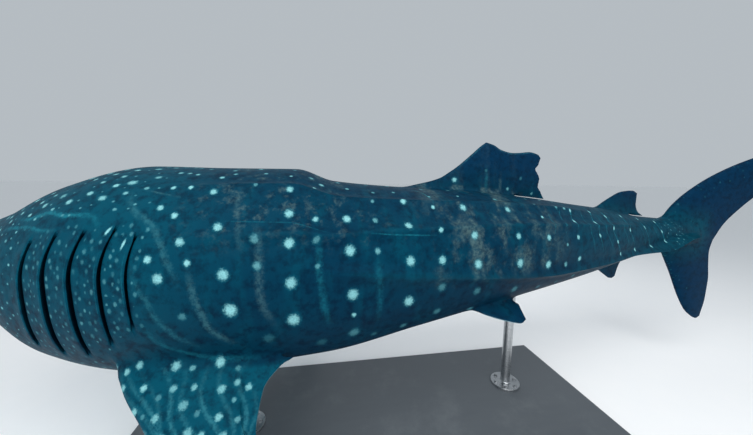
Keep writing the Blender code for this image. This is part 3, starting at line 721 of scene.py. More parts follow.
@dataclass(frozen=True)
class FinSet:
    """All nine fins, from the same edges as their solids."""

    body: BodyForm = BodyForm()
    sink: float = -0.035
    lift: float = 0.002
    flare: float = 0.9
    paired_sink: float = -0.10
    paired_lift: float = 0.010
    paired_flare: float = 0.25
    overlap: float = 0.004

    def first_dorsal(self) -> Fin:
        """The first dorsal fin, worn down to a ragged stump."""
        leading = ((2.70, self.sink), (2.86, 0.014), (3.00, 0.048), (3.09, 0.080), (3.15, 0.118),
                   (3.21, 0.160), (3.31, 0.245), (3.395, 0.322), (3.435, 0.352))
        top = ((3.435, 0.352), (3.50, 0.342), (3.56, 0.318), (3.64, 0.309), (3.73, 0.321),
               (3.83, 0.340), (3.90, 0.332), (3.925, 0.312))
        trailing = ((3.985, 0.009), (3.950, 0.056), (3.918, 0.103), (3.928, 0.145), (3.912, 0.187),
                    (3.882, 0.220), (3.905, 0.254), (3.925, 0.312))
        return self.median("first_dorsal", leading, top, trailing, root_end=3.63, half_thickness=0.040,
                           span_steps=48, nick=0.006)

    def second_dorsal(self) -> Fin:
        """The second dorsal fin."""
        leading = ((4.48, self.sink), (4.60, 0.035), (4.72, 0.115), (4.83, 0.180), (4.93, 0.210))
        top = ((4.93, 0.210), (4.98, 0.216), (5.03, 0.200))
        trailing = ((5.13, 0.009), (5.06, 0.044), (5.030, 0.110), (5.03, 0.200))
        return self.median("second_dorsal", leading, top, trailing, root_end=4.92, half_thickness=0.026,
                           span_steps=22)

    def anal(self) -> Fin:
        """The anal fin."""
        leading = ((4.48, self.sink), (4.60, 0.030), (4.70, 0.105), (4.80, 0.180))
        top = ((4.80, 0.180), (4.84, 0.190), (4.875, 0.178))
        trailing = ((5.00, 0.020), (4.93, 0.050), (4.895, 0.110), (4.875, 0.178))
        return self.median("anal", leading, top, trailing, root_end=4.85, half_thickness=0.022,
                           span_steps=20, under=True)

    def median(
        self, name: str, leading: Curve, tip: Curve, trailing: Curve, root_end: float,
        half_thickness: float, span_steps: int, nick: float = 0.0, under: bool = False,
    ) -> MedianFin:
        """A fin on the midline, whose root ends at the station root_end."""
        bottom = free_root(leading, root_end, trailing, self.sink, self.lift)
        open_from = (root_end - leading[0][0]) / (trailing[0][0] - leading[0][0])
        return MedianFin(name, self.body, leading, tip, trailing, bottom, half_thickness, open_from,
                         self.flare, span_steps=span_steps, nick=nick, under=under)

    def lobes(self) -> Iterator[Fin]:
        """The caudal fin's two lobes, which overlap a little along the tail's core."""
        core = ((5.44, 0.012), (5.62, 0.012), (5.78, 0.004), (5.925, -0.025))
        upper = (
            ((5.44, 0.012), (5.36, 0.130), (5.42, 0.240), (5.52, 0.345), (5.64, 0.440), (5.80, 0.545),
             (6.01, 0.655), (6.20, 0.735), (6.55, 0.870), (6.88, 0.985)),
            ((6.88, 0.985), (6.95, 1.000), (6.97, 0.975)),
            ((5.925, -0.025), (6.00, 0.116), (6.13, 0.269), (6.26, 0.395), (6.45, 0.560),
             (6.70, 0.745), (6.88, 0.880), (6.97, 0.975)),
        )
        lower = (
            ((5.44, 0.012), (5.385, -0.090), (5.43, -0.170), (5.53, -0.340), (5.665, -0.600),
             (5.76, -0.740), (5.835, -0.800)),
            ((5.835, -0.800), (5.87, -0.812), (5.905, -0.790)),
            ((5.925, -0.025), (5.903, -0.146), (5.915, -0.270), (5.935, -0.430),
             (5.932, -0.610), (5.905, -0.790)),
        )
        for name, (leading, tip, trailing), gap in (
            ("upper_lobe", upper, -self.overlap), ("lower_lobe", lower, self.overlap),
        ):
            bottom = tuple((station, height + gap) for station, height in core)
            yield Fin(name, self.body, (bottom[0], *leading[1:]), tip, (bottom[-1], *trailing[1:]), bottom,
                      half_thickness=0.052, open_from=2.0, flare=0.35, chord_steps=28, span_steps=44)

    def pectoral(self, side: Side) -> PairedFin:
        """One pectoral fin."""
        leading = ((-0.02, self.paired_sink), (-0.01, 0.03), (0.065, 0.165), (0.190, 0.300),
                   (0.330, 0.450), (0.490, 0.640), (0.640, 0.810), (0.745, 0.900))
        tip = ((0.745, 0.900), (0.785, 0.920), (0.815, 0.890))
        trailing = ((0.715, 0.030), (0.650, 0.080), (0.597, 0.170), (0.588, 0.300), (0.645, 0.460),
                    (0.750, 0.640), (0.800, 0.790), (0.815, 0.890))
        return self.paired("pectoral", side, leading, tip, trailing, root_end=0.62, half_thickness=0.050,
                           chord_steps=34, span_steps=46, station=1.43, reach=0.445, height=-0.315,
                           droop=45.0, pitch=4.0, curl=0.10)

    def pelvic(self, side: Side) -> PairedFin:
        """One pelvic fin."""
        leading = ((-0.02, self.paired_sink), (0.01, 0.010), (0.12, 0.110), (0.24, 0.190), (0.33, 0.232))
        tip = ((0.33, 0.232), (0.385, 0.246), (0.430, 0.228))
        trailing = ((0.520, 0.012), (0.480, 0.060), (0.450, 0.140), (0.430, 0.228))
        return self.paired("pelvic", side, leading, tip, trailing, root_end=0.36, half_thickness=0.026,
                           chord_steps=22, span_steps=20, station=3.04, reach=0.235, height=-0.240,
                           droop=30.0)

    def paired(
        self, name: str, side: Side, leading: Curve, tip: Curve, trailing: Curve, root_end: float,
        **sizes: float,
    ) -> PairedFin:
        """One fin of a pair, whose root ends at the distance root_end back along it."""
        bottom = free_root(leading, root_end, trailing, self.paired_sink, self.paired_lift)
        return PairedFin(f"{name}_{side.label}", self.body, leading, tip, trailing, bottom, side=side,
                         open_from=root_end / trailing[0][0], flare=self.paired_flare, **sizes)

    def all(self) -> list[Fin]:
        """Every fin."""
        fins = [self.first_dorsal(), self.second_dorsal(), self.anal(), *self.lobes()]
        for side in Side:
            fins += [self.pectoral(side), self.pelvic(side)]
        return fins


@dataclass(frozen=True)
class Mark:
    """A small piece of a marking: a spot, or a short stretch of a line.

    reach and half_width are its half sizes along first and second, its two tangents.
    """

    centre: Array
    first: Array
    second: Array
    normal: Array
    reach: float
    half_width: float
    glow: float
    tint: float = 0.0


@dataclass(frozen=True)
class Column:
    """An upright column of spots on the flank.

    Each spot is a girth and a radius. The column leans back from its first spot down.
    """

    station: float
    lean: float
    spots: Curve
    glow: float = 1.0


@dataclass(frozen=True)
class Stroke:
    """A pale line on the flank through points given as station and girth; with tint -1 it is a dark line of
    painted shadow instead.
    """

    points: Curve
    half_width: float = 0.006
    glow: float = 0.5
    tint: float = 0.0


@dataclass(frozen=True)
class Dots:
    """How the small spots of one zone vary: size, glow, and how far each may lie off its place.

    spread and fade are the most that the radius varies by, as a share, and that the glow loses.
    """

    radius: float
    spread: float
    glow: float
    fade: float
    tall: float
    loose: Span


@dataclass(frozen=True)
class FinRow:
    """A row of spots out along a pectoral fin, and the glow of the wavy line behind it."""

    start: float
    pitch: float
    radius: float
    fade: float
    line_glow: float


class MarkPlan:
    """Where the spots and lines lie. Both flanks carry them; the far one varies a little."""

    COLUMNS = (
        Column(1.63, 0.45, ((0.76, 0.018), (0.84, 0.022), (1.01, 0.018))),
        Column(1.65, -0.10, ((0.41, 0.012), (0.53, 0.014))),
        Column(1.70, 0.33, ((0.57, 0.016), (0.69, 0.018), (0.78, 0.015))),
        Column(1.72, 0.0, ((0.30, 0.012), (0.41, 0.013))),
        Column(1.82, 0.0, ((0.31, 0.013), (0.44, 0.016))),
        Column(1.87, 0.13, ((0.63, 0.021), (0.84, 0.025), (1.00, 0.028))),
        Column(1.99, 0.08, ((0.40, 0.010), (0.69, 0.020), (0.81, 0.018), (1.17, 0.027)), 0.62),
        Column(2.14, 0.03, ((0.42, 0.017), (0.56, 0.021), (0.71, 0.024), (0.89, 0.026), (1.07, 0.029))),
        Column(2.25, 0.03, ((0.35, 0.010), (0.55, 0.016)), 0.95),
        Column(2.26, 0.03, ((0.66, 0.018), (0.78, 0.013), (1.20, 0.028)), 0.55),
        Column(2.40, 0.05, ((0.50, 0.021), (0.67, 0.026), (0.89, 0.028), (1.00, 0.013), (1.12, 0.028))),
        Column(2.54, 0.0, ((0.37, 0.010), (0.49, 0.015), (0.66, 0.016), (1.16, 0.020)), 0.70),
        Column(2.71, -0.01, ((0.35, 0.018), (0.51, 0.022), (0.70, 0.026), (0.93, 0.029), (1.12, 0.024))),
        Column(2.88, 0.01, ((0.37, 0.013), (0.53, 0.015), (0.69, 0.022), (0.85, 0.025), (1.02, 0.024))),
        Column(3.07, 0.09, ((0.36, 0.022), (0.55, 0.021), (0.71, 0.026), (0.89, 0.025), (1.06, 0.022))),
        Column(3.38, 0.05, ((0.35, 0.018), (0.54, 0.019), (0.70, 0.026), (0.90, 0.026), (1.08, 0.020))),
        Column(3.63, 0.0, ((0.27, 0.010), (0.38, 0.011), (0.53, 0.018), (0.70, 0.023), (0.90, 0.018))),
        Column(3.79, 0.0, ((0.56, 0.010), (0.69, 0.017), (0.86, 0.014)), 0.75),
        Column(3.90, 0.15, ((0.50, 0.015), (0.64, 0.017), (0.80, 0.015))),
    )
    SHADE_LINE = (
        (1.5, 1.7, 1.87, 2.14, 2.4, 2.7, 2.85, 4.0),
        (0.95, 0.98, 1.04, 1.10, 1.06, 0.97, 0.80, 0.75),
    )
    SHADED_GLOW = 0.48
    FAR_SIDE_LOOSE = 0.022
    SEED = 7
    CLEARANCE = 0.011
    SOCKET_CLEARANCE = 1.4
    CELL = 0.08
    FRAME_STEP = 0.004
    LINE_STEP = 0.012
    BACK = Dots(0.0125, 0.25, 0.85, 0.30, 1.0, (0.03, 0.02))
    BACK_GIRTHS = (0.05, 0.26)
    BACK_PITCH = 0.13
    DASH_RADIUS = 0.0095
    DASH_TALL = 1.9
    DASH_STEP = 0.03
    BETWEEN_SLANTS = 0.10
    SLANTS = (
        (((3.80, 0.20), (3.81, 0.31), (3.79, 0.42), (3.79, 0.50)), ()),
        (((3.99, 0.14), (3.94, 0.28), (3.90, 0.38), (3.90, 0.46)), (0.28, 0.38)),
        (((4.22, 0.10), (4.18, 0.23), (4.12, 0.35), (4.14, 0.45), (4.19, 0.57)), (0.23, 0.35, 0.45)),
        (((4.39, 0.10), (4.34, 0.22), (4.31, 0.36), (4.37, 0.46), (4.45, 0.55)), (0.25, 0.37, 0.46, 0.54)),
        (((4.61, 0.10), (4.57, 0.22), (4.57, 0.33), (4.62, 0.40), (4.68, 0.48)), (0.19, 0.33, 0.46)),
        (((4.87, 0.08), (4.84, 0.20), (4.88, 0.30), (4.96, 0.40)), (0.14, 0.23, 0.37)),
        (((5.12, 0.05), (5.10, 0.15), (5.14, 0.24), (5.19, 0.31)), (0.12, 0.21, 0.29)),
    )
    STROKES = (
        Stroke(((1.49, 0.43), (1.51, 0.49), (1.55, 0.55), (1.60, 0.59), (1.64, 0.63), (1.66, 0.67),
                (1.68, 0.72), (1.70, 0.78), (1.72, 0.82), (1.735, 0.88)), 0.016, 0.46, 0.30),
        Stroke(((1.57, 0.78), (1.58, 0.83), (1.59, 0.88), (1.62, 0.93), (1.64, 1.00), (1.67, 1.05),
                (1.70, 1.10), (1.74, 1.14), (1.79, 1.18)), 0.015, 0.36, 0.2),
        Stroke(((1.77, 0.80), (1.78, 0.86), (1.79, 0.93), (1.81, 1.00), (1.83, 1.07), (1.87, 1.13),
                (1.93, 1.19)), 0.017, 0.44, 0.5),
        Stroke(((1.585, 1.02), (1.625, 1.12), (1.71, 1.20), (1.86, 1.265), (2.02, 1.29)), 0.014, 0.32),
        # A dark line along the pectoral's root, under the trunk: a painted shadow of the crease there.
        Stroke(((1.60, 1.24), (1.70, 1.31), (1.84, 1.36), (2.00, 1.385), (2.18, 1.39), (2.30, 1.385)),
               0.030, 1.0, -1.0),
        Stroke(((1.02, 0.47), (1.14, 0.51), (1.20, 0.51), (1.29, 0.55), (1.36, 0.56), (1.41, 0.58),
                (1.44, 0.63)), 0.013, 0.72),
        Stroke(((0.95, 0.50), (1.02, 0.52), (1.14, 0.56), (1.22, 0.60), (1.29, 0.62)), 0.010, 0.58),
        Stroke(((1.56, 0.43), (1.59, 0.44), (1.66, 0.46)), 0.006, 0.40, 0.5),
        Stroke(((2.27, 0.62), (2.27, 0.70), (2.27, 0.78), (2.28, 0.88), (2.29, 0.97), (2.32, 1.07)),
               0.018, 0.36),
        Stroke(((2.55, 0.67), (2.54, 0.77), (2.55, 0.87), (2.55, 0.98), (2.54, 1.06)), 0.018, 0.26),
        Stroke(((2.02, 0.60), (2.03, 0.72), (2.03, 0.81), (2.03, 0.90), (2.04, 0.99), (2.07, 1.06),
                (2.09, 1.11)), 0.019, 0.36, 0.7),
        Stroke(((1.93, 0.40), (1.93, 0.53), (1.95, 0.65), (1.96, 0.76)), 0.015, 0.26, 0.7),
        Stroke(((2.77, 0.13), (2.81, 0.15), (2.86, 0.19), (2.89, 0.28), (2.885, 0.37)), 0.004, 0.80),
        Stroke(((2.50, 0.575), (2.62, 0.572), (2.74, 0.566), (2.86, 0.560)), 0.0040, 0.60),
        Stroke(((1.84, 0.600), (2.00, 0.605), (2.20, 0.605), (2.36, 0.595)), 0.003, 0.28),
        Stroke(((2.10, 0.07), (2.18, 0.05), (2.28, 0.06), (2.38, 0.04)), 0.010, 0.40, 0.5),
        Stroke(((2.56, 0.06), (2.68, 0.04), (2.80, 0.05)), 0.008, 0.35, 0.4),
    )

    HEAD_STATIONS = (0.09, 1.60)
    HEAD_PITCH = (0.048, 0.026)
    HEAD_STEP = (0.038, 0.022)
    HEAD_RADIUS = (0.0078, 0.0062)
    HEAD_TALL = 0.85
    HEAD_FOOT = 0.82
    CROWN = 0.50
    SLIT_ZONE = (1.10, 0.56, 1.26)
    BETWEEN_HEAD_SPOTS = Dots(0.0060, 0.30, 0.58, 0.25, HEAD_TALL, (0.010, 0.012))
    WAVE_GIRTHS = (0.09, 0.66, 0.075)
    SLIT_DOTS = Dots(0.0070, 0.35, 0.50, 0.30, 1.4, (0.008, 0.016))
    SLIT_COLUMNS = ((0.28, 0.0), (0.46, 0.022), (0.64, 0.008), (0.82, 0.030))
    GILL_SECTION = 1.3
    LAST_GAP = 0.062
    NEAREST_TO_SLIT = 0.032
    FIN_ROWS = (FinRow(0.178, 0.098, 0.0185, 0.30, 0.46), FinRow(0.192, 0.070, 0.0125, 0.55, 0.74))
    FIN_SHARES = (0.10, 0.97, 0.105)
    BELOW_FIN_GLOW = 0.35
    TAIL_END = (5.30, 0.42)
    TAIL_END_FLECKS = 70
    LOBE_FLECKS = 24
    DORSAL_SPOTS = (
        ((3.18, 0.07), 0.019, 0.95), ((3.62, 0.045), 0.013, 0.70), ((3.74, 0.135), 0.014, 0.32),
        ((3.86, 0.035), 0.012, 0.60), ((3.43, 0.155), 0.013, 0.26),
    )

    def __init__(self, body: BodyForm, gills: Gills, fins: FinSet, sockets: list[Socket]) -> None:
        self.body = body
        self.gills = gills
        self.fins = fins
        self.sockets = sockets
        self.draw = np.random.default_rng(self.SEED)
        self.spots: list[Mark] = []
        self.cells: dict[tuple[int, ...], list[Mark]] = {}
        self.lines: list[Mark] = []

    def jitter(self, size: float) -> float:
        """A seeded random number between -size and size."""
        return float(self.draw.uniform(-size, size))

    def body_frame(self, station: float, girth: float, side: Side) -> Frame:
        """Place, tangents along and down the flank, and normal at a station and girth."""
        angle = self.body.angle_at(station, girth)
        step = self.FRAME_STEP
        stations = np.array([station, station + step, station])
        angles = np.array([angle, angle, angle + step])
        centre, ahead, below = self.body.surface(stations, angles, side.value)
        first = (ahead - centre) / np.linalg.norm(ahead - centre)
        second = (below - centre) / np.linalg.norm(below - centre)
        normal = np.cross(first, second) * side.value
        return centre, first, second, normal / np.linalg.norm(normal)

    def body_spot(
        self, station: float, girth: float, side: Side, radius: float, glow: float,
        tall: float = 1.1, lean: float = 0.0,
    ) -> None:
        """Adds a spot on the flank.

        Args:
            station: Distance from the snout.
            girth: Distance down from the back's midline.
            side: Which flank.
            radius: Half its length along the body.
            glow: How pale it is.
            tall: Its height as a share of its length.
            lean: How far it leans back for each metre down.
        """
        centre, first, second, normal = self.body_frame(station, girth, side)
        if lean:
            first, second = first - lean * second, second + lean * first
            first, second = first / np.linalg.norm(first), second / np.linalg.norm(second)
        self.add_spot(Mark(centre, first, second, normal, radius, radius * tall, glow))

    def dot(self, dots: Dots, station: float, girth: float, side: Side) -> None:
        """Adds a small spot near a station and girth, varied as its zone says."""
        self.body_spot(station + self.jitter(dots.loose[0]), girth + self.jitter(dots.loose[1]), side,
                       dots.radius * (1.0 + self.jitter(dots.spread)),
                       dots.glow - abs(self.jitter(dots.fade)), dots.tall)

    def add_spot(self, mark: Mark) -> None:
        """Keeps a spot unless it would touch one that is there, or a socket."""
        for socket in self.sockets:
            clear = self.SOCKET_CLEARANCE * socket.radius + mark.reach
            if (socket.centre - Vector(mark.centre)).length < clear:
                return
        cell = np.floor(mark.centre / self.CELL).astype(int)
        for step in itertools.product((-1, 0, 1), repeat=3):
            for other in self.cells.get(tuple(cell + step), ()):
                apart = float(np.linalg.norm(other.centre - mark.centre))
                if apart < other.reach + mark.reach + self.CLEARANCE and other.normal @ mark.normal > 0.0:
                    return
        self.cells.setdefault(tuple(cell), []).append(mark)
        self.spots.append(mark)

    def stroke(self, frames: list[Frame], half_width: float, glow: float, tint: float) -> None:
        """Adds a line through a run of surface frames, fading out at both ends.

        Args:
            frames: Place, tangents and normal of points close together.
            half_width: Half the line's width.
            glow: How strong it is.
            tint: 0 for pale teal, 1 for brown grey, -1 for a dark painted shadow along a crease.
        """
        centres = np.array([f[0] for f in frames])
        tangents = np.gradient(centres, axis=0)
        for k, (centre, _, _, normal) in enumerate(frames):
            along = tangents[k] / np.linalg.norm(tangents[k])
            from_end = min(k + 0.5, len(frames) - k - 0.5)
            fade = min(1.0, 4.0 * from_end / len(frames))
            self.lines.append(Mark(centre, along, np.cross(normal, along), normal, 1.0, half_width,
                                   glow * fade, tint))

    def body_stroke(self, stroke: Stroke, side: Side) -> None:
        """Adds a line on the flank through its stations and girths."""
        count = int(run_lengths(np.array(stroke.points))[-1] / self.LINE_STEP)
        fine = along_curve(stroke.points, np.linspace(0.0, 1.0, max(4, count)))
        frames = [self.body_frame(station, girth, side) for station, girth in fine]
        self.stroke(frames, stroke.half_width, stroke.glow, stroke.tint)

    def flank(self, side: Side) -> None:
        """The trunk's columns, and the smaller spots of the back above them."""
        loose = 0.0 if side is Side.LEFT else self.FAR_SIDE_LOOSE
        highest, lowest = self.BACK_GIRTHS
        for column in self.COLUMNS:
            first = column.spots[0][0]
            for girth, radius in column.spots:
                station = column.station + column.lean * (girth - first)
                shaded = girth > np.interp(station, *self.SHADE_LINE)
                glow = column.glow * (self.SHADED_GLOW if shaded else 1.0) - abs(self.jitter(0.10))
                self.body_spot(station + self.jitter(loose), girth + self.jitter(loose), side,
                               radius * (1.0 + self.jitter(0.05)), glow, 1.08)
            girth = min(first - self.BACK_PITCH, lowest)
            while girth > highest:
                self.dot(self.BACK, column.station, girth, side)
                girth -= self.BACK_PITCH

    def tail(self, side: Side) -> None:
        """Slanted lines on the rear body, each with its dashes and a fainter line in front."""
        for points, girths in self.SLANTS:
            stations, depths = zip(*points)
            for girth in girths:
                station = float(np.interp(girth, depths, stations))
                ahead = float(np.interp(girth + self.DASH_STEP, depths, stations))
                slope = (ahead - station) / self.DASH_STEP
                self.body_spot(station, girth, side, self.DASH_RADIUS, 1.0, self.DASH_TALL, slope)
            self.body_stroke(Stroke(points, 0.0055, 0.70), side)
            between = tuple((s - self.BETWEEN_SLANTS, g + self.jitter(0.02)) for s, g in points[1:])
            self.body_stroke(Stroke(between, 0.0050, 0.42), side)

    def head(self, side: Side) -> None:
        """Small close spots over the head, growing wider apart toward the trunk, and wavy lines.

        A pitch, step or radius is its size at the snout and what it gains for each metre back.
        """
        station, last = self.HEAD_STATIONS
        slits_from, slits_top, slits_foot = self.SLIT_ZONE
        row = 0
        while station < last:
            _, girths = self.body.girths(station)
            pitch = self.HEAD_PITCH[0] + self.HEAD_PITCH[1] * station
            girth = 0.02 + pitch * (0.5 if row % 2 else 0.0)
            while girth < self.HEAD_FOOT * girths[-1]:
                crown = girth < self.CROWN
                over_slits = station > slits_from and slits_top < girth < slits_foot
                radius = self.HEAD_RADIUS[0] + self.HEAD_RADIUS[1] * station * crown
                radius *= 1.0 + self.jitter(0.30)
                glow = (0.98 if crown else 0.84) - abs(self.jitter(0.35))
                if not over_slits:
                    self.body_spot(station + self.jitter(0.010), girth + self.jitter(0.010), side, radius,
                                   glow, self.HEAD_TALL)
                    self.dot(self.BETWEEN_HEAD_SPOTS, station + 0.5 * pitch, girth, side)
                girth += pitch
            station += self.HEAD_STEP[0] + self.HEAD_STEP[1] * station
            row += 1
        for k, girth in enumerate(np.arange(*self.WAVE_GIRTHS)):
            end = 0.92 if girth > 0.36 else 1.12 + 0.05 * (k % 3)
            stations = np.linspace(0.25, end, 16)
            narrowed = girth * (0.72 + 0.28 * smooth_step(0.3, 1.2, stations))
            wave = narrowed + 0.010 * np.sin(stations * 21.0 + k * 1.7)
            self.body_stroke(Stroke(tuple(zip(stations.tolist(), wave.tolist())), 0.0055, 0.45), side)

    def beside_slit(self, slit: int, girth: float) -> float:
        """Station of a slit's front edge at a girth."""
        start = self.gills.stations[slit]
        share = self.gills.shares(np.array(self.body.angle_at(self.GILL_SECTION, girth)))
        return start + float(self.gills.bow(start, float(share)))

    def gill_marks(self, side: Side) -> None:
        """Faint small spots between the slits, a painted highlight along each flap's edge, and two bright
        marks above.
        """
        self.body_spot(1.478, 0.640, side, 0.008, 1.0, 2.8, -0.50)
        self.body_spot(1.541, 0.695, side, 0.0065, 1.0, 4.0, -0.35)
        last = len(self.gills.stations) - 1
        for slit, start in enumerate(self.gills.stations):
            gap = self.LAST_GAP if slit == last else self.gills.stations[slit + 1] - start
            for share, shift in self.SLIT_COLUMNS[:1] if slit == last else self.SLIT_COLUMNS:
                for girth in np.arange(0.62 + shift, 1.26 - 0.05 * slit, 0.046):
                    behind = max(self.NEAREST_TO_SLIT, share * gap)
                    self.dot(self.SLIT_DOTS, self.beside_slit(slit, girth) + behind, girth, side)
            # A thin pale line just in front of each slit, along the flap's edge: a painted highlight.
            rim = tuple((self.beside_slit(slit, girth) - 0.004, float(girth))
                        for girth in np.linspace(0.72, 1.16 - 0.05 * slit, 8))
            self.body_stroke(Stroke(rim, 0.0028, 0.35), side)

    def tail_end(self, side: Side) -> None:
        """The cluster of small pale flecks where the keel meets the caudal fin."""
        station_at, share_at = self.TAIL_END
        for _ in range(self.TAIL_END_FLECKS):
            station = station_at + self.jitter(0.16)
            _, girths = self.body.girths(station)
            share = share_at + self.jitter(0.34)
            self.body_spot(station, share * girths[-1], side, 0.0042 * (1.0 + self.jitter(0.4)),
                           0.75 - abs(self.jitter(0.4)), 1.9, 0.5)

    def caudal(self) -> None:
        """Faint flecks on the caudal lobes, close together along the leading edge's root."""
        for fin in self.fins.lobes():
            points, _, _ = fin.patch()
            rows, columns, _ = points.shape
            for _ in range(self.LOBE_FLECKS):
                chord = int(self.draw.beta(1.0, 2.6) * (rows - 1))
                span = int((0.05 + 0.86 * self.draw.beta(0.9, 2.2)) * (columns - 1))
                radius = 0.0058 * (1.0 + self.jitter(0.4))
                glow = 0.20 - abs(self.jitter(0.12))
                for face in FACES:
                    frame_here = fin.mark_frame(tuple(points[chord, span]), face)
                    self.spots.append(Mark(*frame_here, radius, radius * 1.4, glow))

    def pectoral(self, side: Side) -> None:
        """Spots in rows out along the pectoral, with wavy lines between them."""
        fin = self.fins.pectoral(side)
        points, _, _ = fin.patch()
        rows, columns, _ = points.shape
        for face in FACES:
            upper = face < 0.0
            for k, share in enumerate(np.arange(*self.FIN_SHARES)):
                plan = self.FIN_ROWS[k % 2]
                row = points[int(share * (rows - 1))]
                runs = run_lengths(row)
                out = plan.start
                while out < runs[-1] - 0.05:
                    radius = plan.radius * (1.0 + self.jitter(0.18))
                    glow = (0.98 - abs(self.jitter(plan.fade))) * (1.0 if upper else self.BELOW_FIN_GLOW)
                    place = tuple(np.interp(out, runs, row[:, c]) + self.jitter(0.014) for c in (0, 1))
                    self.add_spot(Mark(*fin.mark_frame(place, face), radius, radius * 1.05, glow))
                    out += plan.pitch + self.jitter(0.012)
                if upper:
                    behind = points[min(rows - 1, int((share + 0.052) * (rows - 1)))]
                    wave = 0.020 * np.sin(7.0 * np.arange(columns) / columns * math.pi + k)
                    frames = [fin.mark_frame((behind[j, 0] + wave[j], behind[j, 1]), face)
                              for j in range(5 + k % 3, columns - 3)]
                    self.stroke(frames, 0.011, plan.line_glow, 0.2)

    def dorsal(self) -> None:
        """The first dorsal fin's few spots, its two upright streaks and a pale band just inside its leading
        edge and top.
        """
        fin = self.fins.first_dorsal()
        for face in FACES:
            for point, radius, glow in self.DORSAL_SPOTS:
                self.spots.append(Mark(*fin.mark_frame(point, face), radius, radius, glow))
            for foot, reach, tint in ((3.43, 0.15, 0.1), (3.55, 0.12, 0.8)):
                streak = [fin.mark_frame((foot + 0.03 * z, z), face) for z in np.linspace(0.02, reach, 14)]
                self.stroke(streak, 0.014, 0.34, tint)
            for edge in (fin.leading[5:], fin.tip):
                worn = along_curve(edge, np.linspace(0.0, 1.0, 26)) - (0.0, 0.006)
                self.stroke([fin.mark_frame(tuple(point), face) for point in worn], 0.006, 0.40, 0.3)

    def lay_out(self) -> None:
        """Lays out every marking."""
        for side in Side:
            self.flank(side)
            self.tail(side)
            self.head(side)
            self.gill_marks(side)
            self.tail_end(side)
            self.pectoral(side)
            for stroke in self.STROKES:
                self.body_stroke(stroke, side)
        self.dorsal()
        self.caudal()


class MarkField:
    """Marks written on a mesh: each face reads its nearest mark, in units of that mark's size."""

    FAR = 9.0
    FACING = 0.25
    LOOKED_AT = 4
    USUAL_SIZE = 0.02

    def __init__(self, marks: list[Mark]) -> None:
        self.centre = np.array([m.centre for m in marks])
        self.first = np.array([m.first for m in marks])
        self.second = np.array([m.second for m in marks])
        self.normal = np.array([m.normal for m in marks])
        self.size = np.array([(m.reach, m.half_width) for m in marks])
        self.look = np.array([(m.glow, m.tint) for m in marks])
        self.tree = KDTree(len(marks))
        for k, mark in enumerate(marks):
            self.tree.insert(mark.centre, k)
        self.tree.balance()

    def nearest(self, middles: Array, normals: Array, limit: float, by_size: bool) -> Array:
        """The mark that each face reads.

        Args:
            middles: Face centres.
            normals: Face normals.
            limit: How far away a mark may be.
            by_size: Whether a big mark counts as nearer than a small one.

        Returns:
            A mark's number for each face, or -1.
        """
        chosen = np.full(len(middles), -1)
        for face, middle in enumerate(middles):
            best = limit
            for _, k, distance in self.tree.find_n(middle, self.LOOKED_AT):
                if distance > limit:
                    break
                if normals[face] @ self.normal[k] < self.FACING:
                    continue
                size = self.size[k].max() / self.USUAL_SIZE if by_size else 1.0
                if distance / size < best:
                    best, chosen[face] = distance / size, k
        return chosen

    def write(self, mesh: Mesh, name: str, limit: float, as_line: bool) -> None:
        """Stores the field on the mesh's corners.

        A spot is stored as two offsets and its glow, a line as one offset, its glow and its tint.
        """
        middles, normals = read(mesh.polygons, "center"), read(mesh.polygons, "normal")
        chosen = self.nearest(middles, normals, limit, by_size=not as_line)
        of_corner = np.repeat(chosen, read(mesh.polygons, "loop_total", 1, int)[:, 0])
        corner_vertex = read(mesh.loops, "vertex_index", 1, int)[:, 0]
        away = read(mesh.vertices, "co")[corner_vertex] - self.centre[of_corner]
        first = (away * self.first[of_corner]).sum(1) / self.size[of_corner, 0]
        second = (away * self.second[of_corner]).sum(1) / self.size[of_corner, 1]
        glow, tint = self.look[of_corner, 0], self.look[of_corner, 1]
        values = np.stack([second, glow, tint] if as_line else [first, second, glow], axis=1)
        values[of_corner < 0] = (self.FAR, 0.0, 0.0) if as_line else (self.FAR, self.FAR, 0.0)
        store(mesh, name, "CORNER", values)


def search_tree(pieces: list[Object]) -> BVHTree:
    """A tree that finds the nearest place on some pieces."""
    points, faces = [], []
    for piece in pieces:
        start = len(points)
        points += [v.co.copy() for v in piece.data.vertices]
        faces += [[start + k for k in face.vertices] for face in piece.data.polygons]
    return BVHTree.FromPolygons(points, faces)


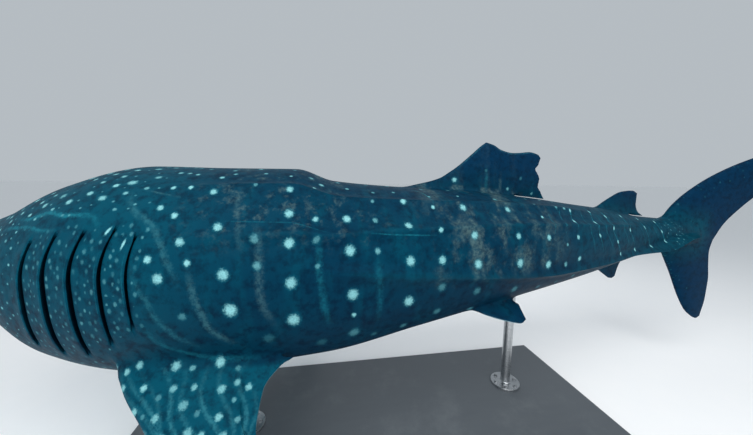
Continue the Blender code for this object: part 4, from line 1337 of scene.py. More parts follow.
@dataclass
class Skin:
    """The one skin of body, head and fins.

    head_rows are zones of rings as first station, end and step; jaws are rings inside the mouth as
    share of its depth and half gap; fillet is where the smoothing of a fin's root is full and ends.
    """

    head: HeadForm
    gills: Gills
    fins: FinSet
    finish: "SkinFinish"
    fan: tuple[int, ...] = (12, 4, 4, 6, 4, 4, 8, 4, 4, 36)
    fan_squeeze: float = 0.45
    ridged_from: Span = (0.45, 1.05)
    lip_rows: tuple[float, ...] = (0.0, 0.003, 0.007, 0.012, 0.017, 0.022, 0.027, 0.033, 0.040, 0.049)
    head_rows: tuple[tuple[float, float, float], ...] = (
        (0.060, 0.215, 0.0125), (0.222, 0.395, 0.0085), (0.405, 0.470, 0.0135), (0.472, 0.530, 0.0072),
        (0.541, 1.090, 0.0145),
    )
    after_slit: float = 0.015
    row_step: float = 0.022
    jaws: Curve = ((1.0, 0.003), (0.75, 0.0035), (0.5, 0.005), (0.2, 0.0085))
    socket_zone: float = 2.4
    seam: float = 1e-4
    seam_merge: float = 0.004
    shortest_edge: float = 0.0005
    fillet: Span = (0.012, 0.060)
    fillet_rounds: int = 14
    fin_root: Span = (0.004, 0.07)
    fin_tip: Span = (0.05, 0.30)
    belly_angle: float = 2.05
    belly_narrows: tuple[tuple[float, Span], ...] = ((0.35, (0.5, 1.6)), (0.22, (2.1, 2.9)))
    belly_blend: float = 0.65
    belly_end: Span = (3.4, 4.6)
    # Depths under the surface over which the slits and the mouth take painted shade.
    slit_ink: Span = (0.004, 0.013)
    mouth_ink: Span = (0.001, 0.02)
    tallest_crest: float = 0.03
    spot_limit: float = 0.10
    line_limit: float = 0.045
    crease: float = 70.0

    @property
    def body(self) -> BodyForm:
        """The form that the skin follows."""
        return self.head.body

    def ring_angles(self, station: float) -> Array:
        """Angles down one side, close together at the ridges, and at the eyes on the head."""
        steps = sum(self.fan)
        even = np.linspace(0.0, 1.0, steps + 1)
        plain = math.pi * (even + self.fan_squeeze * np.sin(2.0 * math.pi * even) / (2.0 * math.pi))
        reach = float(self.body.ridge_reach(station))
        marks = [0.0]
        for ridge in self.body.ridges:
            crest = float(self.body.crest_angle(ridge, station))
            marks += [crest - reach, crest, crest + reach]
        marks.append(math.pi)
        ridged = [0.0]
        for first, last, count in zip(marks[:-1], marks[1:], self.fan):
            ridged += list(np.linspace(first, last, count + 1)[1:])
        blend = smooth_step(*self.ridged_from, station)
        return (1.0 - blend) * plain + blend * np.array(ridged)

    def rows(self) -> list[Row]:
        """Every ring from the lips to the end of the tail stalk."""
        rows = [Row(s) for s in self.lip_rows]
        rows += [Row(s) for zone in self.head_rows for s in np.arange(*zone)]
        profile = self.gills.profile()
        flat = np.linspace(profile[0][0], profile[-1][0] + self.after_slit, len(profile))
        for slit, start in enumerate(self.gills.stations):
            for base, (offset, widening, height) in zip(flat, profile):
                rows.append(Row(start + base, slit, offset - base, widening, height))
        last = rows[-1].station
        count = round((self.body.end - last) / self.row_step)
        rows += [Row(s) for s in np.linspace(last, self.body.end, count + 1)[1:]]
        return rows

    def ring(self, row: Row) -> Array:
        """Places round one ring."""
        angles = self.ring_angles(row.station)
        share = self.gills.shares(angles)
        station = row.station + self.gills.bow(row.station, share)
        window = np.zeros_like(share)
        if row.slit >= 0:
            window = self.gills.window(row.slit, share)
            station += (row.offset + row.widening * self.gills.width(row.slit, share)) * window
        cut = window ** 4 if row.height < 0.0 else window
        outward = row.height * cut + self.head.lip(row.station)
        return join_halves([self.body.surface(station, angles, side, outward) for side in (1, -1)])

    def body_mesh(self) -> Object:
        """The body as a closed loft, with its mouth and gill slits open."""
        angles = self.ring_angles(0.0)
        rings = [self.head.mouth_row(angles, self.head.mouth_depth * share, gap) for share, gap in self.jaws]
        rings += [self.ring(row) for row in self.rows()]
        count, half = len(rings[0]), len(rings[0]) // 2
        faces = ring_faces(len(rings), count)
        last = (len(rings) - 1) * count
        faces.append([last + i for i in range(count)])
        for turn in (1, -1):
            for i in range(half // 2):
                corners = [(turn * i) % count, (turn * (i + 1)) % count,
                           (turn * (half - i - 1)) % count, (turn * (half - i)) % count]
                faces.append(list(dict.fromkeys(corners)))
        return mesh_object("skin_body", np.concatenate(rings), faces)

    def shape_head(self, obj: Object) -> None:
        """Divides the skin finely round each feature of the head and presses it into shape."""
        sockets = list(self.head.sockets())
        builder = bmesh.new()
        builder.from_mesh(obj.data)
        for socket in sockets:
            zone = self.socket_zone * socket.radius
            edges = [e for e in builder.edges if all((v.co - socket.centre).length < zone for v in e.verts)]
            bmesh.ops.subdivide_edges(builder, edges=edges, cuts=1, use_grid_fill=True, smooth=0.0)
        for vertex in builder.verts:
            if vertex.co.x < sockets[0].centre.x + 1.0:
                vertex.co += sum((socket.offset(vertex.co) for socket in sockets), Vector())
        bmesh.ops.triangulate(builder, faces=[f for f in builder.faces if len(f.verts) > 4])
        builder.to_mesh(obj.data)
        builder.free()

    def fuse(self, body: Object, fins: list[Object]) -> Object:
        """One closed mesh of the body and every fin.

        Args:
            body: The body's closed mesh.
            fins: The fins' closed meshes.

        Returns:
            A new object.
        """
        for fin in fins:
            union = body.modifiers.new(fin.name, "BOOLEAN")
            union.operation = "UNION"
            union.object = fin
            union.solver = "MANIFOLD"
        mesh = plain_mesh(body)
        mesh.name = "skin"
        return add_object("skin", mesh)

    def soften_roots(self, skin: Object, body_tree: BVHTree, fin_tree: BVHTree) -> Array:
        """Rounds the creases where fins leave the body.

        Args:
            skin: The fused skin.
            body_tree: The body before the fusing.
            fin_tree: The fins before the fusing.

        Returns:
            Each vertex's distance out of the body.
        """
        builder = bmesh.new()
        builder.from_mesh(skin.data)
        bmesh.ops.triangulate(builder, faces=[f for f in builder.faces if len(f.verts) > 4])
        on_seam = [v for v in builder.verts
                   if all(tree.find_nearest(v.co)[3] < 0.1 * self.seam for tree in (body_tree, fin_tree))]
        bmesh.ops.remove_doubles(builder, verts=on_seam, dist=self.seam_merge)
        bmesh.ops.dissolve_degenerate(builder, edges=builder.edges, dist=self.shortest_edge)
        builder.to_mesh(skin.data)
        builder.free()
        places = read(skin.data.vertices, "co")
        off_body, off_fin = (
            np.array([tree.find_nearest(p)[3] for p in places]) for tree in (body_tree, fin_tree)
        )
        seam_places = np.nonzero((off_body < self.seam) & (off_fin < self.seam))[0]
        seam = KDTree(len(seam_places))
        for k in seam_places:
            seam.insert(places[k], int(k))
        seam.balance()
        near = np.array([seam.find(p)[2] if off_body[k] + off_fin[k] < 2.0 * self.fillet[1] else 1.0
                         for k, p in enumerate(places)])
        weight = (1.0 - smooth_step(*self.fillet, near))[:, None]
        a, b = read(skin.data.edges, "vertices", 2, int).T
        degree = np.bincount(np.concatenate([a, b]), minlength=len(places))[:, None]
        for _ in range(self.fillet_rounds):
            total = np.zeros_like(places)
            np.add.at(total, a, places[b])
            np.add.at(total, b, places[a])
            places += 0.5 * weight * (total / np.maximum(1, degree) - places)
        skin.data.vertices.foreach_set("co", places.ravel())
        skin.data.update()
        return off_body

    def describe(self, mesh: Mesh, off_body: Array) -> None:
        """Stores where every vertex lies, for the finish, from its distance out of the body."""
        places = read(mesh.vertices, "co")
        station, side, height = self.body.midline.unbend(places)
        top, bottom, half_width = self.body.outline_at(station)
        power = self.body.squareness_at(station) / 2.0
        upward = (height - (top + bottom) / 2.0) / ((top - bottom) / 2.0)
        across = np.clip(np.abs(side) / half_width, 0.0, 1.5) ** power
        angle = np.arctan2(across, np.sign(upward) * np.clip(np.abs(upward), 0.0, 1.5) ** power)
        fin = smooth_step(*self.fin_root, off_body)
        facing_down = smooth_step(0.15, 0.6, -read(mesh.vertices, "normal")[:, 2])
        paired = (np.abs(side) > 0.12) & (station < 4.0)
        under_fin = np.where(paired, facing_down, 0.0)
        narrows = (rise * smooth_step(*zone, station) for rise, zone in self.belly_narrows)
        start = self.belly_angle + sum(narrows)
        belly = smooth_step(start, start + self.belly_blend, angle)
        belly = belly * (1.0 - smooth_step(*self.belly_end, station))
        belly = (1.0 - fin) * belly + fin * under_fin
        crest = self.body.ridge_lift(station, angle)
        radial = np.hypot(side / np.maximum(half_width, 1e-3), upward)
        # Gill slits and mouth darken with depth under the surface: painted shade in those recesses.
        slit = np.zeros_like(station)
        zone = (station > 1.05) & (station < 1.68) & (fin < 0.1)
        slit[zone] = smooth_step(*self.slit_ink, self.depth_inside(places[zone]))
        mouth = (radial < 0.85) & (station < 0.30) & (fin < 0.1)
        slit[mouth] = smooth_step(*self.mouth_ink, self.depth_inside(places[mouth]))
        outness = 0.5 * fin + 0.5 * smooth_step(*self.fin_tip, off_body)
        store(mesh, "lie", "POINT", np.stack([station, angle, outness], axis=1))
        # tone holds the pale belly, the painted shade of slits and mouth, and the ridge height used for a
        # painted highlight.
        store(mesh, "tone", "POINT", np.stack([belly, slit, crest / self.tallest_crest], axis=1))

    def depth_inside(self, places: Array) -> Array:
        """How deep each place lies under the body's smooth surface."""
        station, side, height = self.body.midline.unbend(places)
        sweep = np.zeros_like(station)
        for _ in range(4):
            top, bottom, half_width = self.body.outline_at(station - sweep)
            sweep = self.body.sweep(station - sweep, np.clip(np.abs(side) / half_width, 0.0, 1.0))
        power = self.body.squareness_at(station - sweep)
        upward = np.abs(height - (top + bottom) / 2.0) / ((top - bottom) / 2.0)
        level = (np.abs(side / half_width) ** power + upward ** power) ** (1.0 / power)
        return (1.0 - level) * np.minimum(half_width, (top - bottom) / 2.0)

    def build(self) -> Object:
        """Builds, marks and dresses the skin."""
        body = self.body_mesh()
        self.shape_head(body)
        fins = [fin.build() for fin in self.fins.all()]
        body_tree, fin_tree = search_tree([body]), search_tree(fins)
        skin = self.fuse(body, fins)
        off_body = self.soften_roots(skin, body_tree, fin_tree)
        for piece in (body, *fins):
            bpy.data.objects.remove(piece)
        mesh = skin.data
        self.describe(mesh, off_body)
        plan = MarkPlan(self.body, self.gills, self.fins, list(self.head.sockets()))
        plan.lay_out()
        MarkField(plan.spots).write(mesh, "spot", self.spot_limit, as_line=False)
        MarkField(plan.lines).write(mesh, "line", self.line_limit, as_line=True)
        mesh.materials.clear()
        LOG.info("skin: %d spots and %d line pieces", len(plan.spots), len(plan.lines))
        return dress(skin, self.finish.material(), self.crease)


class Pen:
    """Draws nodes in one tree with short calls."""

    def __init__(self, tree: NodeTree) -> None:
        self.tree = tree

    def add(self, kind: str, feeds: dict | None = None, **settings: object) -> Node:
        """Adds a node with its settings, and feeds its inputs by index or name."""
        node = self.tree.nodes.new(kind)
        for name, value in settings.items():
            setattr(node, name, value)
        self.feed(node, feeds or {})
        return node

    def feed(self, node: Node, feeds: dict) -> None:
        """Links a node's inputs to the sockets given for them, or sets their values."""
        for key, value in feeds.items():
            if isinstance(value, NodeSocket):
                self.tree.links.new(value, node.inputs[key])
            else:
                node.inputs[key].default_value = value

    def shape(self, kind: str, feeds: dict) -> NodeSocket:
        """What a geometry node makes."""
        return self.add("GeometryNode" + kind, feeds).outputs[0]

    def math(self, operation: str, *values: object, clamp: bool = False) -> NodeSocket:
        """The result of a Math node."""
        feeds = dict(enumerate(values))
        return self.add("ShaderNodeMath", feeds, operation=operation, use_clamp=clamp).outputs[0]

    def times(self, first: object, *others: object) -> NodeSocket:
        """The product of some values."""
        product = first
        for other in others:
            product = self.math("MULTIPLY", product, other)
        return product

    def plus(self, first: object, second: object, clamp: bool = False) -> NodeSocket:
        """The sum of two values, kept from 0 to 1 where clamp is set."""
        return self.math("ADD", first, second, clamp=clamp)

    def less(self, first: object, second: object) -> NodeSocket:
        """The first value less the second."""
        return self.math("SUBTRACT", first, second)

    def bump(self, height: object, strength: float, distance: float) -> NodeSocket:
        """The way a surface faces once a height shapes it."""
        feeds = {"Height": height, "Strength": strength, "Distance": distance}
        return self.add("ShaderNodeBump", feeds).outputs[0]

    def rise(
        self, value: object, low: float, high: float, to_low: float = 0.0, to_high: float = 1.0
    ) -> NodeSocket:
        """A smooth rise of a value between two limits, or a fall where to_low is the larger."""
        feeds = {0: value, 1: low, 2: high, 3: to_low, 4: to_high}
        return self.add("ShaderNodeMapRange", feeds, interpolation_type="SMOOTHSTEP").outputs[0]

    def noise(
        self, vector: object, scale: object, detail: float = 3.0, roughness: float = 0.55
    ) -> NodeSocket:
        """A noise value over a vector."""
        feeds = {"Vector": vector, "Scale": scale, "Detail": detail, "Roughness": roughness}
        return self.add("ShaderNodeTexNoise", feeds).outputs["Fac"]

    def mix(self, share: object, first: object, second: object) -> NodeSocket:
        """A mix of two colours."""
        return self.add("ShaderNodeMix", {0: share, 6: first, 7: second}, data_type="RGBA").outputs[2]

    def attribute(self, name: str) -> tuple[NodeSocket, ...]:
        """The three numbers of a vector attribute."""
        vector = self.add("ShaderNodeAttribute", attribute_name=name).outputs["Vector"]
        return tuple(self.add("ShaderNodeSeparateXYZ", {0: vector}).outputs)

    def vector(self, x: object, y: object, z: object) -> NodeSocket:
        """A vector from three numbers."""
        return self.add("ShaderNodeCombineXYZ", {0: x, 1: y, 2: z}).outputs[0]

    def place(self) -> NodeSocket:
        """Object coordinates."""
        return self.add("ShaderNodeTexCoord").outputs["Object"]


def colour(*screen: int) -> Colour:
    """A scene colour from red, green and blue as a screen has them, 0 to 255."""
    return (*(((v / 255.0 + 0.055) / 1.055) ** 2.4 if v > 10 else v / 3294.6 for v in screen), 1.0)


class GrainGroup:
    """A shader node group that gives fine grain as a height and as a tone."""

    NAME = "fine_grain"
    COARSER = 0.13

    @classmethod
    def tree(cls) -> NodeTree:
        """The group, built once."""
        if cls.NAME in bpy.data.node_groups:
            return bpy.data.node_groups[cls.NAME]
        tree = bpy.data.node_groups.new(cls.NAME, "ShaderNodeTree")
        for name, kind in (("Vector", "Vector"), ("Scale", "Float"), ("Stretch", "Float")):
            tree.interface.new_socket(name, in_out="INPUT", socket_type="NodeSocket" + kind)
        for name in ("Height", "Tone"):
            tree.interface.new_socket(name, in_out="OUTPUT", socket_type="NodeSocketFloat")
        pen = Pen(tree)
        given = pen.add("NodeGroupInput").outputs
        x, y, z = pen.add("ShaderNodeSeparateXYZ", {0: given["Vector"]}).outputs
        drawn = pen.vector(pen.times(x, given["Stretch"]), y, z)
        fine = pen.noise(drawn, given["Scale"], 4.0, 0.5)
        coarse = pen.noise(drawn, pen.times(given["Scale"], cls.COARSER), 3.0, 0.5)
        height = pen.plus(pen.times(fine, 0.6), pen.times(coarse, 0.4))
        pen.add("NodeGroupOutput", {"Height": height, "Tone": coarse})
        return tree

    @classmethod
    def use(
        cls, pen: Pen, vector: object, scale: float, stretch: float = 1.0
    ) -> bpy.types.bpy_prop_collection:
        """Places the group in a material and returns its outputs."""
        feeds = {"Vector": vector, "Scale": scale, "Stretch": stretch}
        return pen.add("ShaderNodeGroup", feeds, node_tree=cls.tree()).outputs


def new_material(name: str) -> tuple[Material, Pen, Node]:
    """A material with its pen and its Principled node."""
    material = bpy.data.materials.new(name)
    material.use_nodes = True
    return material, Pen(material.node_tree), material.node_tree.nodes["Principled BSDF"]


@dataclass(frozen=True)
class SkinPlace:
    """Sockets that tell where a point of the skin lies.

    fin is 1 on a fin and 0 on the body; tip rises to 1 some way out from a fin's root.
    """

    point: object
    station: object
    angle: object
    fin: object
    tip: object


@dataclass(frozen=True)
class SkinFinish:
    """Dark teal and navy skin with pale spots and lines, brown patches and a pale belly, with painted shade
    on the lower flank, in the gill slits and mouth and along the pectoral's root, and a painted highlight on
    the ridge crests.

    A span of stations or angles is where a colour starts to change and where it is done.
    """

    navy: Colour = colour(0, 42, 64)
    # Dark mottling, and also the painted shade of the lower flank and of the crease line.
    deep: Colour = colour(0, 22, 42)
    teal: Colour = colour(0, 66, 84)
    fins: Colour = colour(0, 40, 68)
    brown: Colour = colour(82, 106, 106)
    pale: Colour = colour(132, 192, 196)
    faint: Colour = colour(24, 112, 128)
    belly: Colour = colour(132, 168, 180)
    # Near black painted shade inside the gill slits and the mouth.
    inside: Colour = colour(2, 16, 34)
    gloss: Colour = (0.30, 0.72, 1.0, 1.0)
    teal_front: Span = (1.45, 2.1)
    teal_tail: Span = (3.4, 4.6)
    rear_fins: Span = (2.2, 2.6)
    # Angles over which the lower flank takes painted shade.
    low_flank: Span = (1.30, 2.0)
    rear_patch: tuple[Span, Span, Span] = ((2.70, 3.05), (3.45, 3.95), (1.58, 1.84))
    fore_patch: tuple[Span, Span, Span] = ((1.60, 1.95), (2.25, 2.75), (1.02, 1.36))

    def bars(
        self, pen: Pen, skin: SkinPlace, along: float, down: float, layer: float, detail: float, rough: float
    ) -> object:
        """Noise drawn out down the flank: along and down say how fast it changes each way."""
        drawn = pen.vector(pen.times(skin.station, along), pen.times(skin.angle, down), layer)
        return pen.noise(drawn, 1.0, detail, rough)

    def ground(self, pen: Pen, skin: SkinPlace) -> object:
        """The skin's ground colour: teal in front and by the tail, navy between, dark mottling, and painted
        shade darkening the lower flank.
        """
        broad = pen.noise(skin.point, 2.6, 4.0)
        mottle = pen.noise(skin.point, 22.0, 6.0, 0.65)
        bars = self.bars(pen, skin, 9.0, 1.3, 0.0, 3.0, 0.55)
        teal = pen.math("MAXIMUM", pen.rise(skin.station, *self.teal_front, 0.85, 0.12),
                        pen.rise(skin.station, *self.teal_tail, 0.0, 0.6))
        front_fin = pen.times(skin.fin, pen.rise(skin.station, *self.rear_fins, 1.1, 0.0))
        rear_fin = pen.times(skin.tip, pen.rise(skin.station, *self.rear_fins))
        teal = pen.times(pen.math("MAXIMUM", teal, front_fin), pen.less(1.0, rear_fin))
        share = pen.plus(teal, pen.times(pen.less(broad, 0.5), 0.9), clamp=True)
        base = pen.mix(share, self.navy, self.teal)
        base = pen.mix(pen.times(pen.rise(bars, 0.50, 0.66), 0.45), base, self.teal)
        base = pen.mix(rear_fin, base, self.fins)
        # The lower flank is darkened toward the deep colour: painted shade.
        low = pen.times(pen.rise(skin.angle, *self.low_flank, 0.0, 0.26), pen.less(1.0, skin.fin))
        dark = pen.plus(pen.times(pen.rise(mottle, 0.42, 0.68), 0.65), low, clamp=True)
        return pen.mix(dark, base, self.deep)

    def patches(self, pen: Pen, skin: SkinPlace, base: object) -> object:
        """Grey brown patches on the back, drawn out into soft upright bars behind."""
        bars = self.bars(pen, skin, 8.0, 1.1, 2.0, 2.0, 0.5)
        blots = pen.noise(skin.point, 17.0, 6.0, 0.70)
        fine = pen.rise(pen.noise(skin.point, 52.0, 4.0, 0.70), 0.38, 0.64, 0.30, 1.0)
        first, last, foot = self.rear_patch
        barred = pen.rise(pen.plus(bars, pen.times(blots, 0.55)), 0.74, 0.94)
        rear = pen.times(pen.rise(skin.station, *first), pen.rise(skin.station, *last, 1.0, 0.0),
                         pen.rise(skin.angle, *foot, 1.0, 0.0), pen.rise(skin.fin, 0.1, 0.7, 1.0, 0.15),
                         barred)
        first, last, foot = self.fore_patch
        fore = pen.times(pen.rise(skin.station, *first), pen.rise(skin.station, *last, 1.0, 0.20),
                         pen.rise(skin.fin, 0.0, 0.5, 1.0, 0.0), pen.rise(skin.angle, *foot, 1.0, 0.0),
                         pen.rise(blots, 0.50, 0.68))
        share = pen.plus(pen.times(rear, 0.60), pen.times(fore, 0.50), clamp=True)
        return pen.mix(pen.times(share, fine), base, self.brown)

    def lines(self, pen: Pen, ragged: object, worn: object, base: object) -> object:
        """Pale or brown lines, and dark lines of painted shadow, over a colour, with ragged edges and worn
        gaps.
        """
        across, glow, tint = pen.attribute("line")
        edge = pen.plus(pen.math("ABSOLUTE", across), pen.times(ragged, 2.2))
        line = pen.times(pen.rise(edge, 0.05, 1.40, 1.0, 0.0), glow, pen.rise(worn, 0.36, 0.60, 0.25, 1.0))
        # A tint of -1 turns the line into the deep colour: painted shadow.
        line_or_shadow_colour = pen.mix(pen.rise(tint, -1.0, -0.5, 1.0, 0.0), pen.mix(tint, self.faint, self.brown), self.deep)
        return pen.mix(line, base, line_or_shadow_colour)

    def markings(self, pen: Pen, skin: SkinPlace, base: object) -> tuple[object, object]:
        """Lines and spots over a colour, and the mask of the spots."""
        ragged = pen.less(pen.noise(skin.point, 110.0, 3.0, 0.65), 0.5)
        base = self.lines(pen, ragged, pen.noise(skin.point, 42.0, 4.0, 0.7), base)
        x, y, bright = pen.attribute("spot")
        away = pen.math("SQRT", pen.plus(pen.times(x, x), pen.times(y, y)))
        away = pen.plus(away, pen.times(ragged, 1.15))
        halo = pen.times(pen.rise(away, 0.7, 1.5, 1.0, 0.0), pen.times(bright, 0.40))
        base = pen.mix(halo, base, self.faint)
        flecked = pen.rise(pen.noise(skin.point, 150.0, 2.0, 0.6), 0.35, 0.60, 0.72, 1.0)
        spot = pen.times(pen.rise(away, 0.38, 1.12, 1.0, 0.0), pen.times(bright, flecked))
        return pen.mix(spot, base, pen.mix(bright, self.faint, self.pale)), spot

    def material(self) -> Material:
        """The skin's material."""
        material, pen, shader = new_material("shark_skin")
        station, angle, outness = pen.attribute("lie")
        under, slit, crest = pen.attribute("tone")
        fin, tip = pen.rise(outness, 0.0, 0.5), pen.rise(outness, 0.30, 0.95)
        skin = SkinPlace(pen.place(), station, angle, fin, tip)
        base = self.patches(pen, skin, self.ground(pen, skin))
        uneven = pen.times(pen.less(pen.noise(skin.point, 9.0), 0.5), 0.8)
        pale_below = pen.rise(pen.plus(under, uneven), 0.20, 0.95)
        base = pen.mix(pale_below, base, self.belly)
        marked, spot = self.markings(pen, skin, base)
        base = pen.mix(pen.times(pale_below, 0.6), marked, base)
        # Ridge crests are lightened a little toward faint teal: a painted highlight.
        base = pen.mix(pen.times(pen.rise(crest, 0.35, 0.95), 0.08), base, self.faint)
        grain = GrainGroup.use(pen, skin.point, 260.0)
        rough = pen.plus(pen.plus(0.46, pen.times(grain["Tone"], 0.22)), pen.times(spot, 0.08))
        wrinkle = pen.noise(skin.point, 16.0, 5.0, 0.6)
        height = pen.plus(pen.times(grain["Height"], 0.25), pen.times(wrinkle, 0.75))
        # Gill slits and mouth take the near black of painted shade.
        pen.feed(shader, {
            "Base Color": pen.mix(slit, base, self.inside), "Roughness": rough,
            "Specular IOR Level": 0.10, "Specular Tint": self.gloss, "Normal": pen.bump(height, 0.5, 0.004)})
        return material


@dataclass(frozen=True)
class EyeFinish:
    """A dark eye: black pupil, brown iris, and a paler ring round it."""

    pupil: Colour = colour(1, 1, 2)
    iris: Colour = colour(30, 25, 20)
    ring: Colour = colour(92, 106, 106)
    outer: Colour = colour(8, 20, 28)

    def material(self) -> Material:
        """The eye's material, drawn by the angle from the pupil that the mesh stores."""
        material, pen, shader = new_material("eye")
        away, around, _ = pen.attribute("aim")
        streaks = pen.noise(pen.vector(pen.times(around, 9.0), pen.times(away, 1.5), 0.0), 3.0)
        iris = pen.mix(pen.rise(streaks, 0.35, 0.65), self.iris, self.outer)
        base = pen.mix(pen.rise(away, 0.44, 0.50), self.pupil, iris)
        base = pen.mix(pen.times(pen.rise(away, 0.80, 0.86), 0.7), base, self.ring)
        pen.feed(shader, {
            "Base Color": pen.mix(pen.rise(away, 0.90, 1.00), base, self.outer),
            "Roughness": pen.plus(0.12, pen.times(streaks, 0.2)),
            "Specular IOR Level": 0.2, "Coat Weight": 0.55, "Coat Roughness": 0.06})
        return material


@dataclass(frozen=True)
class BoardFinish:
    """Satin grey lacquer over board, a little rubbed."""

    face: Colour = colour(74, 80, 86)
    worn: Colour = colour(104, 110, 114)

    def material(self) -> Material:
        """The board's material."""
        material, pen, shader = new_material("lacquered_board")
        place = pen.place()
        grain = GrainGroup.use(pen, place, 150.0, 0.25)
        rub = pen.rise(pen.noise(place, 3.0, 6.0, 0.7), 0.50, 0.74)
        base = pen.mix(pen.times(rub, 0.45), self.face, self.worn)
        pen.feed(shader, {
            "Base Color": pen.mix(pen.times(grain["Tone"], 0.35), base, self.worn),
            "Roughness": pen.plus(0.34, pen.times(grain["Tone"], 0.25)),
            "Normal": pen.bump(grain["Height"], 0.25, 0.001)})
        return material


@dataclass(frozen=True)
class SteelFinish:
    """Brushed stainless steel."""

    bright: Colour = colour(196, 198, 200)
    dull: Colour = colour(150, 154, 158)
    drawn: float = 0.05

    def material(self) -> Material:
        """The steel's material, brushed round the rod."""
        material, pen, shader = new_material("brushed_steel")
        x, y, z = pen.add("ShaderNodeSeparateXYZ", {0: pen.place()}).outputs
        brushed = pen.vector(z, pen.times(x, self.drawn), pen.times(y, self.drawn))
        grain = GrainGroup.use(pen, brushed, 900.0)
        pen.feed(shader, {
            "Base Color": pen.mix(grain["Tone"], self.bright, self.dull), "Metallic": 1.0,
            "Roughness": pen.rise(grain["Height"], 0.3, 0.7, 0.22, 0.40),
            "Normal": pen.bump(grain["Height"], 0.15, 0.0003)})
        return material


@dataclass(frozen=True)
class FloorFinish:
    """A plain pale floor."""

    face: Colour = colour(250, 250, 250)
    shade: Colour = colour(247, 248, 249)

    def material(self) -> Material:
        """The floor's material."""
        material, pen, shader = new_material("pale_floor")
        grain = GrainGroup.use(pen, pen.place(), 40.0)
        pen.feed(shader, {"Base Color": pen.mix(grain["Tone"], self.face, self.shade), "Roughness": 0.55})
        return material


@dataclass
class Eye:
    """One eyeball, turned to look out of the head."""

    head: HeadForm
    side: Side
    finish: EyeFinish
    around: int = 48
    rows: int = 32
    cornea: float = 0.04
    cornea_reach: float = 0.45
    streaks: float = 3.0

    def build(self) -> Object:
        """The eyeball's mesh with its finish."""
        head = self.head
        centre, out = head.seat(self.side, head.eye_station, head.eye_share, head.eye_sink)
        turn = out.to_track_quat("Z", "Y").to_matrix()
        points, aims, faces = [], [], []
        for i in range(self.rows + 1):
            away = math.pi * i / self.rows
            bulge = 1.0 + self.cornea * math.exp(-(away / self.cornea_reach) ** 2)
            for j in range(self.around if 0 < i < self.rows else 1):
                turned = 2.0 * math.pi * j / self.around
                out_by = math.sin(away)
                x, y = out_by * math.cos(turned), out_by * math.sin(turned)
                local = Vector((x, y, math.cos(away) * bulge))
                points.append(centre + turn @ local * head.eye_radius)
                aims.append((away, math.sin(turned * self.streaks), 0.0))
        firsts = [0] + [1 + i * self.around for i in range(self.rows)]
        for i, j in itertools.product(range(self.rows), range(self.around)):
            k = (j + 1) % self.around
            near = [0] if i == 0 else [firsts[i] + j, firsts[i] + k]
            far = [firsts[i + 1]] if i == self.rows - 1 else [firsts[i + 1] + k, firsts[i + 1] + j]
            faces.append(near + far)
        eye = mesh_object("eyeball_" + self.side.label, np.array(points), faces)
        store(eye.data, "aim", "POINT", np.array(aims))
        return dress(eye, self.finish.material())


def round_edge(reach: float, height: float, radius: float, angles: Array) -> list[Span]:
    """A quarter round that starts or ends at a corner, hollow for a radius above 0."""
    return [(reach + radius * (1.0 - math.sin(a)), height + radius * (1.0 - math.cos(a))) for a in angles]


